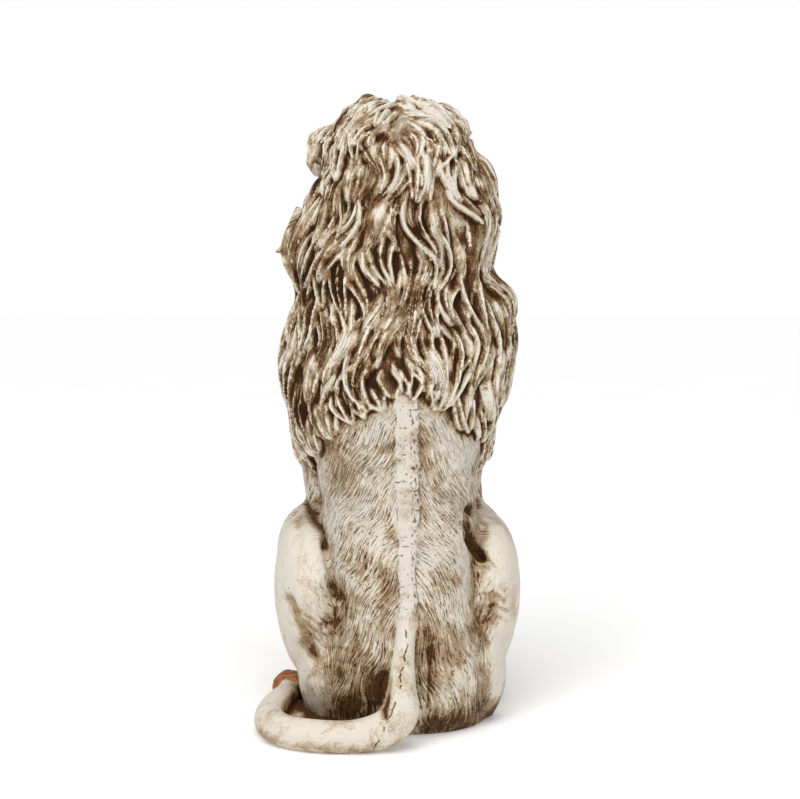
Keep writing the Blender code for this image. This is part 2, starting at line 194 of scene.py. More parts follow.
def limb(clay, stations, reference=(1, 0, 0), sides=16, steps=4, squareness=2, place=None):
    rows = flowing(stations, steps) * MM
    angles = np.linspace(0, 2 * math.pi, sides, endpoint=False)
    along = rounded(np.cos(angles), squareness)[:, None]
    across = rounded(np.sin(angles), squareness)[:, None]
    ways = np.gradient(rows[:, :3], axis=0)
    rings = []
    for row, way in zip(rows, ways):
        way = way / np.linalg.norm(way)
        side = np.array(reference, float)
        side -= way * side.dot(way)
        side /= np.linalg.norm(side)
        rings.append(row[:3] + along * side * row[3] + across * np.cross(way, side) * row[4])
    skin(clay, rings, place)


def ball(clay, centre, radii, turn=(0, 0, 0), place=None):
    turned = np.array(Euler([math.radians(a) for a in turn]).to_matrix())
    angles = np.linspace(0, 2 * math.pi, 18, endpoint=False)
    rings = []
    for lean in np.linspace(-0.5, 0.5, 11)[1:-1] * math.pi:
        flat = math.cos(lean)
        level = np.full(len(angles), math.sin(lean))
        ring = np.column_stack([np.cos(angles) * flat, np.sin(angles) * flat, level])
        rings.append(((ring * radii) @ turned.T + centre) * MM)
    skin(clay, rings, place)


# %% [markdown]
# ## The plain masses
#
# The trunk leans back from the chest to the rump, and the mane starts as one lump over the shoulders. The
# lump is not the same on both sides, because the real one isn't: the shoulder on the right of the picture
# is higher.


# %% Trunk and mane masses
def trunk(clay):
    trunk_like(
        clay,
        [
            (-9, 72, 72, -30, 108),
            (6, 89, 87, -44, 124),
            (40, 88, 88, -52, 139),
            (90, 74, 76, -56, 140),
            (140, 66, 68, -62, 131),
            (190, 73, 74, -74, 117),
            (240, 82, 78, -86, 103),
            (290, 88, 88, -92, 90),
            (340, 88, 88, -90, 78),
            (390, 80, 80, -80, 66),
            (440, 64, 64, -66, 50),
        ],
    )
    ball(clay, (0, -60, 70), (60, 42, 116))
    for side in (-1, 1):
        ball(clay, (46 * side, -62, 24), (26, 40, 40))


def mane_mass(clay):
    trunk_like(
        clay,
        [
            (232, 74, 70, -84, 74),
            (252, 86, 68, -98, 88),
            (275, 99, 85, -112, 95),
            (305, 104, 100, -120, 94),
            (345, 112, 112, -121, 86),
            (380, 104, 112, -112, 79),
            (405, 93, 114, -102, 72),
            (428, 97, 94, -96, 67),
            (450, 108, 89, -92, 66),
            (480, 99, 97, -88, 66),
            (505, 84, 95, -86, 65),
            (530, 71, 92, -84, 60),
            (556, 70, 70, -80, 50),
            (580, 54, 60, -76, 30),
            (595, 44, 50, -66, 6),
            (602, 35, 32, -54, -12),
        ],
        squareness=2.15,
    )
    ball(clay, (67, -28, 553), (17, 24, 21))
    ball(clay, (-55, -26, 568), (17, 24, 20))
    ball(clay, (-76, -30, 527), (22, 26, 24))
    ball(clay, (0, -92, 262), (46, 26, 62))
    ball(clay, (0, -86, 420), (54, 34, 36))


# %% [markdown]
# A sitting cat's hind leg is folded flat: the thigh is a big oval, the shank doubles back under it, and the
# long foot lies along the ground. The forelegs stand nearly straight under the shoulders.


# %% Legs
def haunch(clay, side):
    ball(clay, (84 * side + 2, 8, 109), (39, 84, 87), turn=(-14, 5 * side, 0))
    ball(clay, (83 * side + 3, -30, 151), (36, 52, 49))
    ball(clay, (70 * side, 46, 44), (33, 58, 52))
    shank = [
        (82 * side, -52, 118, 26, 30),
        (83 * side, -22, 70, 22, 26),
        (80 * side, 26, 30, 19, 24),
        (78 * side, 48, 12, 16, 20),
    ]
    foot = [
        (74 * side, 62, 8, 17, 16),
        (76 * side, 20, 9, 19, 18),
        (75 * side, -30, 10, 19, 19),
        (76 * side, -66, 11, 20, 20),
    ]
    limb(clay, shank)
    limb(clay, foot)
    ball(clay, (77 * side, -78, 11), (24, 28, 21))


def foreleg(clay, side):
    stations = [
        (66 * side, -58, 330, 36, 44),
        (68 * side, -62, 270, 31, 40),
        (67 * side, -68, 215, 26, 33),
        (60 * side, -86, 160, 22, 26),
        (52 * side, -100, 105, 19.5, 22),
        (47 * side, -108, 62, 20, 22),
        (45 * side, -114, 26, 21, 24),
        (45 * side, -118, 4, 21, 24),
    ]
    limb(clay, stations)
    ball(clay, (74 * side, -42, 208), (18, 20, 28))
    ball(clay, (45 * side, -132, 12), (27, 36, 24))


# %% [markdown]
# The skull has axes of its own, because the head is turned a little to one side. A 4x4 matrix places each
# of its forms, so they can all be written as if the head looked straight ahead.


# %% Skull, and all the masses together
def skull(clay):
    ball(clay, (0, -6, 2), (62, 66, 66), place=HEAD)
    ball(clay, (0, -52, 32), (45, 26, 32), place=HEAD)
    ball(clay, (0, -76, -28), (36, 36, 29), place=HEAD)
    ball(clay, (0, -58, -54), (40, 44, 26), place=HEAD)
    for side in (-1, 1):
        ball(clay, (41 * side, -44, -16), (28, 34, 38), place=HEAD)


def masses():
    clay = Clay()
    trunk(clay)
    mane_mass(clay)
    skull(clay)
    for side in (-1, 1):
        haunch(clay, side)
        foreleg(clay, side)
    return clay


# %% [markdown]
# ## Growing the forms together
#
# The Remesh modifier in voxel mode throws a fine grid over overlapping forms and keeps only their common
# outside, which is how wet clay behaves when it is pressed together. The Smooth modifier then rubs out the
# seams.


# %% Fuse a heap of clay into one skin
def evaluated(made):
    bpy.context.view_layer.update()
    graph = bpy.context.evaluated_depsgraph_get()
    mesh = bpy.data.meshes.new_from_object(made.evaluated_get(graph))
    bpy.data.objects.remove(made)
    return mesh


def fused(clay, voxel, smoothing):
    mesh = bpy.data.meshes.new("forms")
    mesh.from_pydata(clay.points, [], clay.faces)
    made = bpy.data.objects.new("forms", mesh)
    bpy.context.scene.collection.objects.link(made)
    grow = made.modifiers.new("Fuse", "REMESH")
    grow.mode = "VOXEL"
    grow.voxel_size = voxel
    soften = made.modifiers.new("Soften", "SMOOTH")
    soften.factor = 0.5
    soften.iterations = smoothing
    return evaluated(made)


def arrays_of(mesh):
    points = np.zeros(len(mesh.vertices) * 3)
    normals = np.zeros(len(mesh.vertices) * 3)
    mesh.vertices.foreach_get("co", points)
    mesh.vertex_normals.foreach_get("vector", normals)
    return points.reshape(-1, 3), normals.reshape(-1, 3)


body = fused(masses(), CLAY_VOXEL, CLAY_SMOOTHING)
body_points, body_normals = arrays_of(body)
body_faces = [tuple(p.vertices) for p in body.polygons]
body_surface = BVHTree.FromPolygons([Vector(p) for p in body_points], body_faces)
print("the plain body has", len(body_points), "points")

# %% [markdown]
# ## The way the hair falls
#
# Every lock of the mane follows one field of directions: away from the face, back over the crown, and then
# down the neck and shoulders, spreading a little to the sides. The field is projected into the surface, so
# a lock that follows it stays on the figure.


# %% Direction of the hair
def flow(points, normals):
    x, y, z = points[..., 0] / MM, points[..., 1] / MM, points[..., 2] / MM
    face = np.array(FACE_AXIS)
    away = points - np.array(HEAD_CENTRE)
    away = away - (away @ face)[..., None] * face
    away = away / (np.linalg.norm(away, axis=-1, keepdims=True) + 1e-9)
    near_face = (smoothstep(30, -70, y) * smoothstep(425, 490, z))[..., None]
    on_top = (smoothstep(540, 592, z))[..., None]
    sideways = smoothstep(8, 80, np.abs(x)) * smoothstep(400, 470, z) * smoothstep(575, 530, z)
    way = np.array((0.0, 0.0, -1.0)) * (1 - 0.75 * on_top) + away * 1.5 * near_face
    way = way + np.array((0.0, 1.0, 0.0)) * (1.3 * on_top + 0.5 * near_face)
    outwards = np.sign(x) * (0.40 * sideways + 0.8 * on_top[..., 0])
    way = way + np.array((1.0, 0.0, 0.0)) * outwards[..., None]
    way = way - normals * np.sum(way * normals, axis=-1, keepdims=True)
    return way / (np.linalg.norm(way, axis=-1, keepdims=True) + 1e-9)


# %% [markdown]
# The mane ends at a hem. On the back the hem is an arch, highest over the spine, and it hangs lower on the
# chest. Roots keep some distance above it, and the points of the locks hang a little over it. The face
# stays free of locks: for that, a point's place is also needed on the head's own axes.

# %% The hem, and where the mane grows
ROOT_ABOVE_HEM = 14 * MM
OVERHANG = 6 * MM


def on_head_axes(points):
    return (points - np.array(HEAD_CENTRE)) @ np.array(HEAD_TURN.to_matrix()) / MM


def hem_level(points):
    x, y = np.abs(points[..., 0]) / MM, points[..., 1] / MM
    behind = 338 - 1.15 * np.minimum(x, 55) - 0.5 * np.clip(x - 55, 0, 37)
    before = 205 + 0.5 * x
    return (before + (behind - before) * smoothstep(-70, 0, y)) * MM


def on_mane(points):
    x, y, z = on_head_axes(points).T
    in_face = ((x / 58) ** 2 + ((z + 6) / 60) ** 2 < 1) & (y < -14)
    return (points[..., 2] > hem_level(points) + ROOT_ABOVE_HEM) & ~in_face


def shortness(points):
    y, z = points[..., 1] / MM, points[..., 2] / MM
    crown = smoothstep(505, 575, z)
    ruff = smoothstep(0, -60, y) * smoothstep(430, 500, z)
    return 1 - 0.42 * np.maximum(crown, ruff)


at_spine, at_flank = hem_level(np.array([(0, 80, 0), (80, 80, 0)]) * MM) / MM
print("the hem over the spine and at the flank, in mm:", round(float(at_spine)), round(float(at_flank)))

# %% [markdown]
# Roots are picked at random from the body's own points, and each picked root clears an oval space round
# itself, long in the direction of flow. What is left is an even but never regular scatter, as on a real
# pelt.


# %% Scatter the roots
def lock_roots(points, normals, chance, spacing, length):
    wanted = np.flatnonzero(on_mane(points))
    points, normals = points[wanted], normals[wanted]
    ways = flow(points, normals)
    sides = np.cross(normals, ways)
    sizes = shortness(points)
    free = np.ones(len(points), bool)
    roots = []
    for i in chance.permutation(len(points)):
        if not free[i]:
            continue
        roots.append((points[i], normals[i], sizes[i]))
        apart = (points - points[i]) / sizes[i]
        reach = (apart @ sides[i] / spacing) ** 2 + (apart @ ways[i] / (0.38 * length)) ** 2
        free &= (reach > 1) | (np.abs(apart @ normals[i]) > 2 * LOCK_WIDTH)
    return roots


# %% [markdown]
# From its root a lock walks over the body in short steps. At each step it follows the flow, turned a little
# by a slow and a quick wave, so that neighbours swing together as wet hair does, and is then put back on
# the surface. It stops where it hangs over the hem. `hem_rise` keeps the locks of the back a little
# shorter.

# %% The path of a lock
FEWEST_STEPS = 5


def sway(point):
    x, _, z = point / MM
    slow = math.sin(z / 17 + x / 38 + 1.3 * math.sin(x / 52))
    quick = math.sin(z / 9.5 - x / 21 + 2.0)
    return 0.42 * slow + 0.16 * quick


def hem_rise(point):
    x, y = abs(point[0]) / MM, point[1] / MM
    across = (0.35 + 0.65 * smoothstep(6, 28, x)) * smoothstep(105, 80, x)
    return HEM_RISE * across * smoothstep(-30, 10, y)


def lock_path(root, normal, length, lean):
    point, path = root, []
    for step in range(LOCK_STEPS + 1):
        way = flow(point, normal)
        path.append((point, normal))
        if step >= FEWEST_STEPS and point[2] < hem_level(point) + hem_rise(point) - OVERHANG:
            break
        way = way + np.cross(normal, way) * (sway(point) + lean)
        goal = point + way / np.linalg.norm(way) * (length / LOCK_STEPS)
        near, found = body_surface.find_nearest(Vector(goal))[:2]
        point, normal = np.array(near), np.array(found)
    return path


# %% [markdown]
# ## Locks
#
# Each lock is a blade swept along its path. It starts inside the clay, rises as it goes and ends in a point
# that stands off the surface. What makes it look carved and not extruded is its cross-section. A modeller
# presses a loop tool down the middle of a lock, which leaves two raised rims and a scooped valley, or draws
# two strokes that meet in one sharp crest, or leaves the lock full and scores it once near one edge. All
# three sections are used here, and about half of the locks have theirs mirrored.

# %% Cross-sections of a lock
SCOOPED = [
    (-1, -0.4), (-0.98, 0.3), (-0.9, 0.86), (-0.8, 1.0), (-0.66, 0.84), (-0.42, 0.6), (-0.12, 0.5),
    (0.2, 0.54), (0.5, 0.72), (0.7, 0.94), (0.82, 0.98), (0.92, 0.7), (0.99, 0.2), (1, -0.4),
]
RIBBED = [
    (-1, -0.4), (-0.98, 0.3), (-0.88, 0.84), (-0.76, 0.9), (-0.56, 0.6), (-0.32, 0.64), (-0.14, 0.96),
    (0.0, 1.0), (0.16, 0.66), (0.42, 0.54), (0.68, 0.84), (0.84, 0.82), (0.97, 0.2), (1, -0.4),
]
FULL = [
    (-1, -0.4), (-0.98, 0.25), (-0.88, 0.62), (-0.66, 0.74), (-0.4, 0.9), (-0.15, 1.0), (0.1, 0.98),
    (0.3, 0.84), (0.46, 0.56), (0.62, 0.6), (0.78, 0.78), (0.9, 0.66), (0.98, 0.2), (1, -0.4),
]
UNDERSIDE = [(0.5, -0.7), (-0.5, -0.7)]
SECTIONS = [SCOOPED, RIBBED, FULL]
print("points round a lock:", [len(section + UNDERSIDE) for section in SECTIONS])

# %% [markdown]
# A lock is narrow at its root, widest near its middle and runs out to a point. Its height grows in the same
# way and falls off only at the very tip. The base line starts well under the surface, so that roots never
# show.


# %% One lock
FINE_STEPS = 3
THINNEST = 0.5 * MM


def lock(clay, path, width, thickness, section, mirrored):
    points = flowing([p for p, _ in path], FINE_STEPS)
    normals = flowing([n for _, n in path], FINE_STEPS)
    normals /= np.linalg.norm(normals, axis=1, keepdims=True)
    ways = np.gradient(points, axis=0)
    sides = np.cross(normals, ways)
    sides /= np.linalg.norm(sides, axis=1, keepdims=True)
    if mirrored:
        section = [(-across, up) for across, up in reversed(section)]
    t = np.linspace(0, 1, len(points))
    half = width / 2 * (0.32 + 0.68 * smoothstep(0, 0.45, t)) * (1 - t**2.2) ** 0.85 + THINNEST
    high = thickness * (0.45 + 0.55 * smoothstep(0, 0.5, t)) * (1 - t**5) ** 0.5 + THINNEST
    base = points + normals * (thickness * (-0.66 + 0.56 * t))[:, None]
    across, up = np.array(section + UNDERSIDE).T
    rings = (
        base[:, None]
        + sides[:, None] * (half[:, None] * across)[..., None]
        + normals[:, None] * (high[:, None] * up)[..., None]
    )
    skin(clay, rings)
    return points, sides, half


# %% [markdown]
# For the paint, each lock leaves a note of its centre line: later, every point of the finished skin can ask
# how far it is across and along the lock it belongs to. A second heap of clay holds the locks alone, for
# the same reason.


# %% Notes about the locks
class LockNotes:
    def __init__(self):
        self.clay = Clay()
        self.first_face = []
        self.first_ring = []
        self.centres = []
        self.sides = []
        self.halves = []
        self.along = []
        self.seeds = []
        self.rings = 0

    def write(self, clay, path, width, thickness, section, mirrored, seed):
        faces_before, points_before = len(clay.faces), len(clay.points)
        centres, sides, halves = lock(clay, path, width, thickness, section, mirrored)
        shift = len(self.clay.points) - points_before
        self.first_face.append(len(self.clay.faces))
        self.clay.points += clay.points[points_before:]
        self.clay.faces += [tuple(i + shift for i in f) for f in clay.faces[faces_before:]]
        self.first_ring.append(self.rings)
        self.rings += len(centres)
        self.centres.append(centres)
        self.sides.append(sides)
        self.halves.append(halves)
        steps = np.linalg.norm(np.diff(centres, axis=0), axis=1)
        self.along.append(np.concatenate([[0], np.cumsum(steps)]))
        self.seeds.append(seed)


# %% [markdown]
# The big locks use the same random numbers as the solid, so they lie exactly where its own do. Two more
# passes then lay thin locks, and low flat ones, between and over them. What differs only in this script is
# drawn from a second row of random numbers, so that the first row stays in step with the solid's.


# %% A pass of locks
def lay_locks(clay, notes, seed, spacing, length, width, thickness, sections):
    chance = np.random.default_rng(seed)
    look = np.random.default_rng(seed + 1)
    for root, normal, short in lock_roots(body_points, body_normals, chance, spacing, length):
        size, thick, stretch, drift = chance.uniform(0.82, 1.18, 4)
        path = lock_path(root, normal, length * stretch * short, (3.7 - 2.5 * short) * (drift - 1))
        section = sections[look.integers(len(sections))]
        wide, high = width * size * short**0.5, thickness * thick * short**0.2
        mirrored, shade = look.random() < 0.5, look.random()
        if root[2] > hem_level(root) + hem_rise(root) + ROOT_ABOVE_HEM:
            notes.write(clay, path, wide, high, section, mirrored, shade)


# %% [markdown]
# Now the mane is laid, over a copy of the plain body: first the big locks, then the thin ones, then the low
# ones.

# %% Lay the mane
THIN_WIDTH = 0.0165
THIN_THICKNESS = 0.0110
THIN_SPACING = 0.046
THIN_LENGTH = 0.075
LOW_WIDTH = 0.027
LOW_THICKNESS = 0.0085
LOW_SPACING = 0.024

carving = Clay()
carving.add(body_points, body_faces)
notes = LockNotes()
lay_locks(carving, notes, SEED, LOCK_SPACING, LOCK_LENGTH, LOCK_WIDTH, LOCK_THICKNESS, SECTIONS)
big = len(notes.seeds)
lay_locks(carving, notes, SEED + 5, THIN_SPACING, THIN_LENGTH, THIN_WIDTH, THIN_THICKNESS, SECTIONS[1:])
lay_locks(carving, notes, SEED + 9, LOW_SPACING, THIN_LENGTH, LOW_WIDTH, LOW_THICKNESS, SECTIONS)
print("locks:", big, "big and", len(notes.seeds) - big, "thin or low")

# %% [markdown]
# A few locks have a place of their own. One tip stands off the side of the head, and three locks lie over
# the upper end of the spine's strip, which would otherwise show as a blunt bar under the hem.

# %% Locks with a place of their own
STRAY_TIP = [(92, 2, 494, 10, 7), (101, 4, 476, 9, 6), (109, 2, 460, 6, 4.5), (121, 0, 453, 1.5, 1.5)]
COVERING_LOCKS = [  # root's x and z, lean, and the lock's own shade
    (-7, 364, 0.10, 0.6),
    (11, 366, -0.15, 0.2),
    (3, 359, 0.0, 0.9),
]

limb(carving, STRAY_TIP)
for root_x, root_z, lean, shade in COVERING_LOCKS:
    near, normal = body_surface.find_nearest(Vector((root_x, 130, root_z)) * MM)[:2]
    path = lock_path(np.array(near), np.array(normal), LOCK_LENGTH, lean)
    notes.write(carving, path, 0.8 * LOCK_WIDTH, LOCK_THICKNESS, SCOOPED, shade < 0.5, shade)
print("locks in all:", len(notes.seeds))


# %% [markdown]
# ## Spine and tail
#
# A flat band runs down the back and turns into the tail. The tail drops to the ground, bends round the
# haunch on the left of the picture and ends in a brush. A low sheet fills the floor of the curl and is
# painted dark there as shade, so that no table shows between the tail and the haunch. The band's stations
# are found by looking at the body's surface from behind, level by level, so that the band lies on it.


# %% Spine and tail
def spine(clay):
    half = SPINE_WIDTH / 2 / MM
    stations = []
    for z in np.linspace(336, 104, 9):
        hit = body_surface.ray_cast(Vector((0, 0.4, z * MM)), Vector((0, -1, 0)))[0]
        narrowed = 0.25 * half * smoothstep(215, 165, z)
        stations.append((narrowed, hit.y / MM, z, half - narrowed, SPINE_RAISE / MM))
    limb(clay, stations, sides=16, steps=2, squareness=4)


def tail_stations():
    thick = TAIL_RADIUS / MM
    low = thick - 1.5
    strip = SPINE_WIDTH / 2 / MM
    return [
        (3, 134, 128, 5, strip - 3),
        (5, 141, 104, 8, strip - 2.5),
        (8.5, 149, 78, 11, strip - 1),
        (10.5, 157, 54, thick, strip + 2),
        (13, 163, 33, thick + 2, thick + 4),
        (28, 166, 19.5, thick + 2, thick + 2),
        (56, 166, low + 0.5, thick, thick),
        (88, 160, low, thick, thick),
        (115, 143, low, thick, thick),
        (129.5, 112, low, thick, thick),
        (128, 76, low, thick - 0.5, thick - 0.5),
        (120, 42, low, thick - 1.5, thick - 1.5),
        (111, 14, low, thick - 2.5, thick - 2.5),
        (106, -6, low, thick - 4, thick - 4),
    ]


def tail(clay):
    limb(clay, tail_stations(), reference=(0, 0, 1), sides=18)


# a low sheet that fills the floor of the curl; the coat's tone paints it dark as shade
def curl_floor(clay):
    ball(clay, (80, 100, -3), (50, 62, 12))
    ball(clay, (99, 54, -3), (26, 66, 14))


def brush(clay):
    full = TUFT_RADIUS / MM
    stations = [
        (108, 14, 13, full * 0.45, full * 0.5),
        (107, 0, 13, full * 0.66, full * 0.85),
        (108, -18, 13, full * 0.72, full * 0.95),
        (109, -38, 12, full * 0.6, full * 0.75),
        (110, -56, 9, full * 0.35, full * 0.4),
        (111, -64, 7, full * 0.1, full * 0.1),
    ]
    limb(clay, stations, reference=(0, 0, 1))
    for turn, size in ((0.3, 8.5), (1.3, 7), (2.2, 8), (3.2, 7), (-0.7, 8)):
        curl = []
        for share in np.linspace(0, 1, 6):
            off = full * (0.62 - 0.45 * share**2)
            angle = turn + 0.5 * math.sin(5 * share + turn)
            thick = size * math.sin(math.pi * (0.12 + 0.8 * share)) ** 0.7
            x = 107 + 4 * share + off * math.sin(angle) * 0.9
            z = 13 - 4 * share + off * math.cos(angle)
            curl.append((x, 16 - 76 * share, z, thick * 0.9, thick))
        limb(clay, curl, reference=(0, 0, 1), sides=12, steps=3)


spine(carving)
tail(carving)
curl_floor(carving)
brush(carving)
print("points of clay with the spine and the tail:", len(carving.points))


# %% [markdown]
# ## Paws and face
#
# Toes are four rounded wedges with gaps between them, and each carries a small claw. The face is built from
# the parts an animal modeller names: the bridge of the nose, the nose pad, the whisker pads, the chin, and
# the brow, eyeball and lower lid of each eye. An ear is one ring turned inside out, with three tufts of
# hair in it.


# %% Paws and face
def paws(clay):
    for side in (-1, 1):
        for middle, front, reach, spread in ((45, -152, 24, 12), (77, -94, 21, 10.5)):
            for toe in (-1.5, -0.5, 0.5, 1.5):
                x = middle * side + toe * spread
                y = front + 5 * abs(toe)
                ball(clay, (x, y, 9), (spread * 0.57, reach * 0.8, 15.5))
                ball(clay, (x, y - 15, 4), (2.6, 7, 4), turn=(18, 0, 0))


def face(clay):
    bridge = [(0, -56, 44, 21, 13), (0, -72, 28, 17, 13), (0, -93, 8, 17, 13), (0, -108, -7, 18.5, 12)]
    limb(clay, bridge, place=HEAD)
    ball(clay, (0, -114, -14), (19, 8, 10), place=HEAD)
    ball(clay, (0, -93, -60), (20, 18, 14), place=HEAD)
    for side in (-1, 1):
        ball(clay, (18 * side, -95, -34), (22, 22, 19), place=HEAD)
        ball(clay, (28 * side, -70, 30), (19, 11, 7.5), turn=(0, 4 * side, 16 * side), place=HEAD)
        ball(clay, (28 * side, -70.5, 16), (11, 10.5, 7.5), place=HEAD)
        ball(clay, (31 * side, -67, 5), (18, 12, 5.5), turn=(0, 12 * side, 16 * side), place=HEAD)
        ear(clay, side)


def ear(clay, side):
    rings = []
    angles = np.linspace(0, 2 * math.pi, 20, endpoint=False)
    for depth, grow in ((8, 0.3), (6, 0.8), (-1, 1.0), (-7, 0.97), (-6, 0.78), (2, 0.55), (3, 0.25)):
        ring = [np.cos(angles) * 19 * grow, np.full(len(angles), depth), np.sin(angles) * 21 * grow]
        rings.append(np.column_stack(ring) * MM)
    turn = Euler((math.radians(-8), math.radians(34 * side), math.radians(26 * side)))
    place = Matrix.Translation(Vector((58 * side, -38, 46)) * MM) @ turn.to_matrix().to_4x4()
    skin(clay, rings, HEAD @ place)
    for start, lean, reach in ((-8, -3, -3), (-3, 1, 3), (3, 3, 0)):
        hair = [
            (start, 3, -14, 2.2, 2.6),
            (start + lean / 2, -1, -8, 2.2, 2.6),
            (start + lean, -3, reach, 0.8, 0.8),
        ]
        limb(clay, hair, sides=8, place=HEAD @ place)


paws(carving)
face(carving)
print("points of clay in the whole figure:", len(carving.points))

# %% [markdown]
# ## One skin
#
# The carving is fused with a much finer grid than the body was. The skin is then thinned: the Decimate
# modifier takes points away where the surface is flat and keeps them along the crests, so the triangles go
# where the carving is. Voxels can leave closed bubbles inside the figure. `outer_skin` numbers the points,
# spreads the lowest number along the edges and keeps only the largest island. The underside is cut flat on
# the ground and closed, as the casting's is.


# %% Fuse, thin and cut flat
def thinned(mesh, triangles):
    made = bpy.data.objects.new("fine", mesh)
    bpy.context.scene.collection.objects.link(made)
    thin = made.modifiers.new("Thin", "DECIMATE")
    thin.ratio = min(1.0, triangles / (2 * len(mesh.polygons)))
    return evaluated(made)


def cut_flat(mesh, level, close):
    form = bmesh.new()
    form.from_mesh(mesh)
    geometry = list(form.verts) + list(form.edges) + list(form.faces)
    below = {"plane_co": (0, 0, level), "plane_no": (0, 0, -1), "clear_outer": True}
    bmesh.ops.bisect_plane(form, geom=geometry, **below)
    if close:
        rim = [e for e in form.edges if e.is_boundary]
        bmesh.ops.triangle_fill(form, edges=rim, use_beauty=True, normal=(0, 0, -1))
        bmesh.ops.triangulate(form, faces=form.faces)
        bmesh.ops.recalc_face_normals(form, faces=form.faces)
    form.to_mesh(mesh)
    form.free()
    return mesh


def edge_ends(mesh):
    ends = np.zeros(len(mesh.edges) * 2, int)
    mesh.edges.foreach_get("vertices", ends)
    return ends.reshape(-1, 2).T


def outer_skin(mesh):
    first, second = edge_ends(mesh)
    label = np.arange(len(mesh.vertices))
    while True:
        lower = np.minimum(label[first], label[second])
        before = label.copy()
        np.minimum.at(label, first, lower)
        np.minimum.at(label, second, lower)
        label = label[label]
        if (label == before).all():
            break
    kept = np.bincount(label).argmax()
    form = bmesh.new()
    form.from_mesh(mesh)
    lost = [v for v, island in zip(form.verts, label) if island != kept]
    bmesh.ops.delete(form, geom=lost, context="VERTS")
    form.to_mesh(mesh)
    form.free()
    return mesh


fine = fused(carving, CARVING_VOXEL, CARVING_SMOOTHING)
print("the fused carving has", len(fine.polygons), "faces")

# %% [markdown]
# Before the skin is thinned, some creases are pressed into it, as a modeller does with the edge of a tool:
# the fold between flank and thigh, the hollows of the thighs, the cleft of the rump and the wrinkles of the
# elbow. Each crease is a line drawn on the back view, in x and z, with a width, a depth and the share of
# glaze and painted shade that it holds later. It pushes nearby points inwards along their normals, or
# outwards where its depth is negative.


# %% Creases of the figure
HOLLOWS = [  # line in x and z, width, depth, share of glaze and painted shade
    ([(68, 192), (66, 152)], 15.0, -6.0, 0.00),
    ([(94, 202), (85, 191), (77, 181), (76, 170)], 4.2, 4.5, 0.60),
    ([(76, 170), (74, 155), (71, 137), (64, 125)], 4.2, 4.5, 0.26),
    ([(-62, 206), (-60, 194), (-61, 182), (-67, 170), (-74, 160)], 4.4, 8.0, 0.80),
    ([(103, 203), (101, 186), (104, 168)], 5.0, 3.0, 0.18),
    ([(110, 120), (99, 95), (87, 68)], 6.0, 3.5, 0.50),
    ([(-83, 122), (-84, 98)], 8.0, 3.0, 0.20),
    ([(-19, 92), (-22, 36)], 5.0, 2.0, 0.10),
    ([(25, 62), (28, 36)], 4.2, 3.0, 0.30),
]
WRINKLES = [
    ([(100, 112), (82, 100), (64, 104)], 1.4, 0.9, 0.14),
    ([(97, 101), (79, 89), (60, 93)], 1.4, 0.9, 0.12),
    ([(93, 90), (75, 78), (57, 82)], 1.4, 0.9, 0.14),
    ([(89, 79), (72, 68), (54, 71)], 1.4, 0.8, 0.12),
    ([(104, 232), (92, 236), (84, 230)], 1.6, 1.6, 0.45),
    ([(103, 246), (92, 249), (82, 243)], 1.6, 1.6, 0.45),
    ([(-96, 118), (-84, 128), (-70, 126)], 1.5, 0.9, 0.14),
    ([(-98, 108), (-86, 116), (-72, 112)], 1.5, 0.9, 0.14),
    ([(-98, 98), (-87, 104), (-74, 99)], 1.5, 0.9, 0.14),
    ([(-16, 86), (-17, 66), (-16, 30)], 1.5, 1.3, 0.50),
]
print("creases:", len(HOLLOWS), "wide and", len(WRINKLES), "narrow")

# %% [markdown]
# A point's distance from the line, in the back view, gives the depth by a bell curve. The front of the
# figure and the faces that look forwards are left alone.

# %% Press the creases into the clay
ROUGH_CUT = -4 * MM  # below the ground, so that thinning can't bend the edge of the underside


def distance_to_line(places, line):
    nearest = np.full(len(places), np.inf)
    for start, end in zip(line, line[1:]):
        start, span = np.array(start, float), np.array(end, float) - start
        share = np.clip((places - start) @ span / (span @ span), 0, 1)
        nearest = np.minimum(nearest, np.linalg.norm(places - start - share[:, None] * span, axis=1))
    return nearest


def pressed(mesh):
    points, normals = arrays_of(mesh)
    flat = points[:, (0, 2)] / MM
    behind = smoothstep(-60, -30, points[:, 1] / MM) * smoothstep(-0.2, 0.15, normals[:, 1])
    depth = np.zeros(len(points))
    for line, width, deep, _ in HOLLOWS + WRINKLES:
        depth += deep * MM * np.exp(-((distance_to_line(flat, line) / width) ** 2))
    points -= normals * (depth * behind)[:, None]
    mesh.vertices.foreach_set("co", points.ravel())
    mesh.update()
    return mesh


fine = cut_flat(pressed(fine), ROUGH_CUT, close=False)
fine = outer_skin(thinned(fine, TRIANGLES))
fine = cut_flat(fine, 0.0, close=True)
print("the finished skin has", sum(len(p.vertices) - 2 for p in fine.polygons), "triangles")

# %% [markdown]
# ## Measuring the skin for the painter
#
# A glaze that is brushed on and wiped off stays in the hollows. To know the hollows, each point is compared
# with the average of its neighbours: where the average lies outside the surface the point is in a dip, and
# where it lies inside the point is on a crest. A few rounds of averaging find fine crests, a few more find
# the narrow grooves between locks, and many rounds find whole hollows.


# %% Crests, grooves, hollows and height above the plain body
def softened(values, first, second, rounds):
    count = len(values)
    number = np.bincount(first, minlength=count) + np.bincount(second, minlength=count)
    for _ in range(rounds):
        total = np.zeros_like(values)
        for axis in range(values.shape[1]):
            total[:, axis] = np.bincount(first, values[second, axis], count)
            total[:, axis] += np.bincount(second, values[first, axis], count)
        values = 0.5 * values + 0.5 * total / number[:, None]
    return values


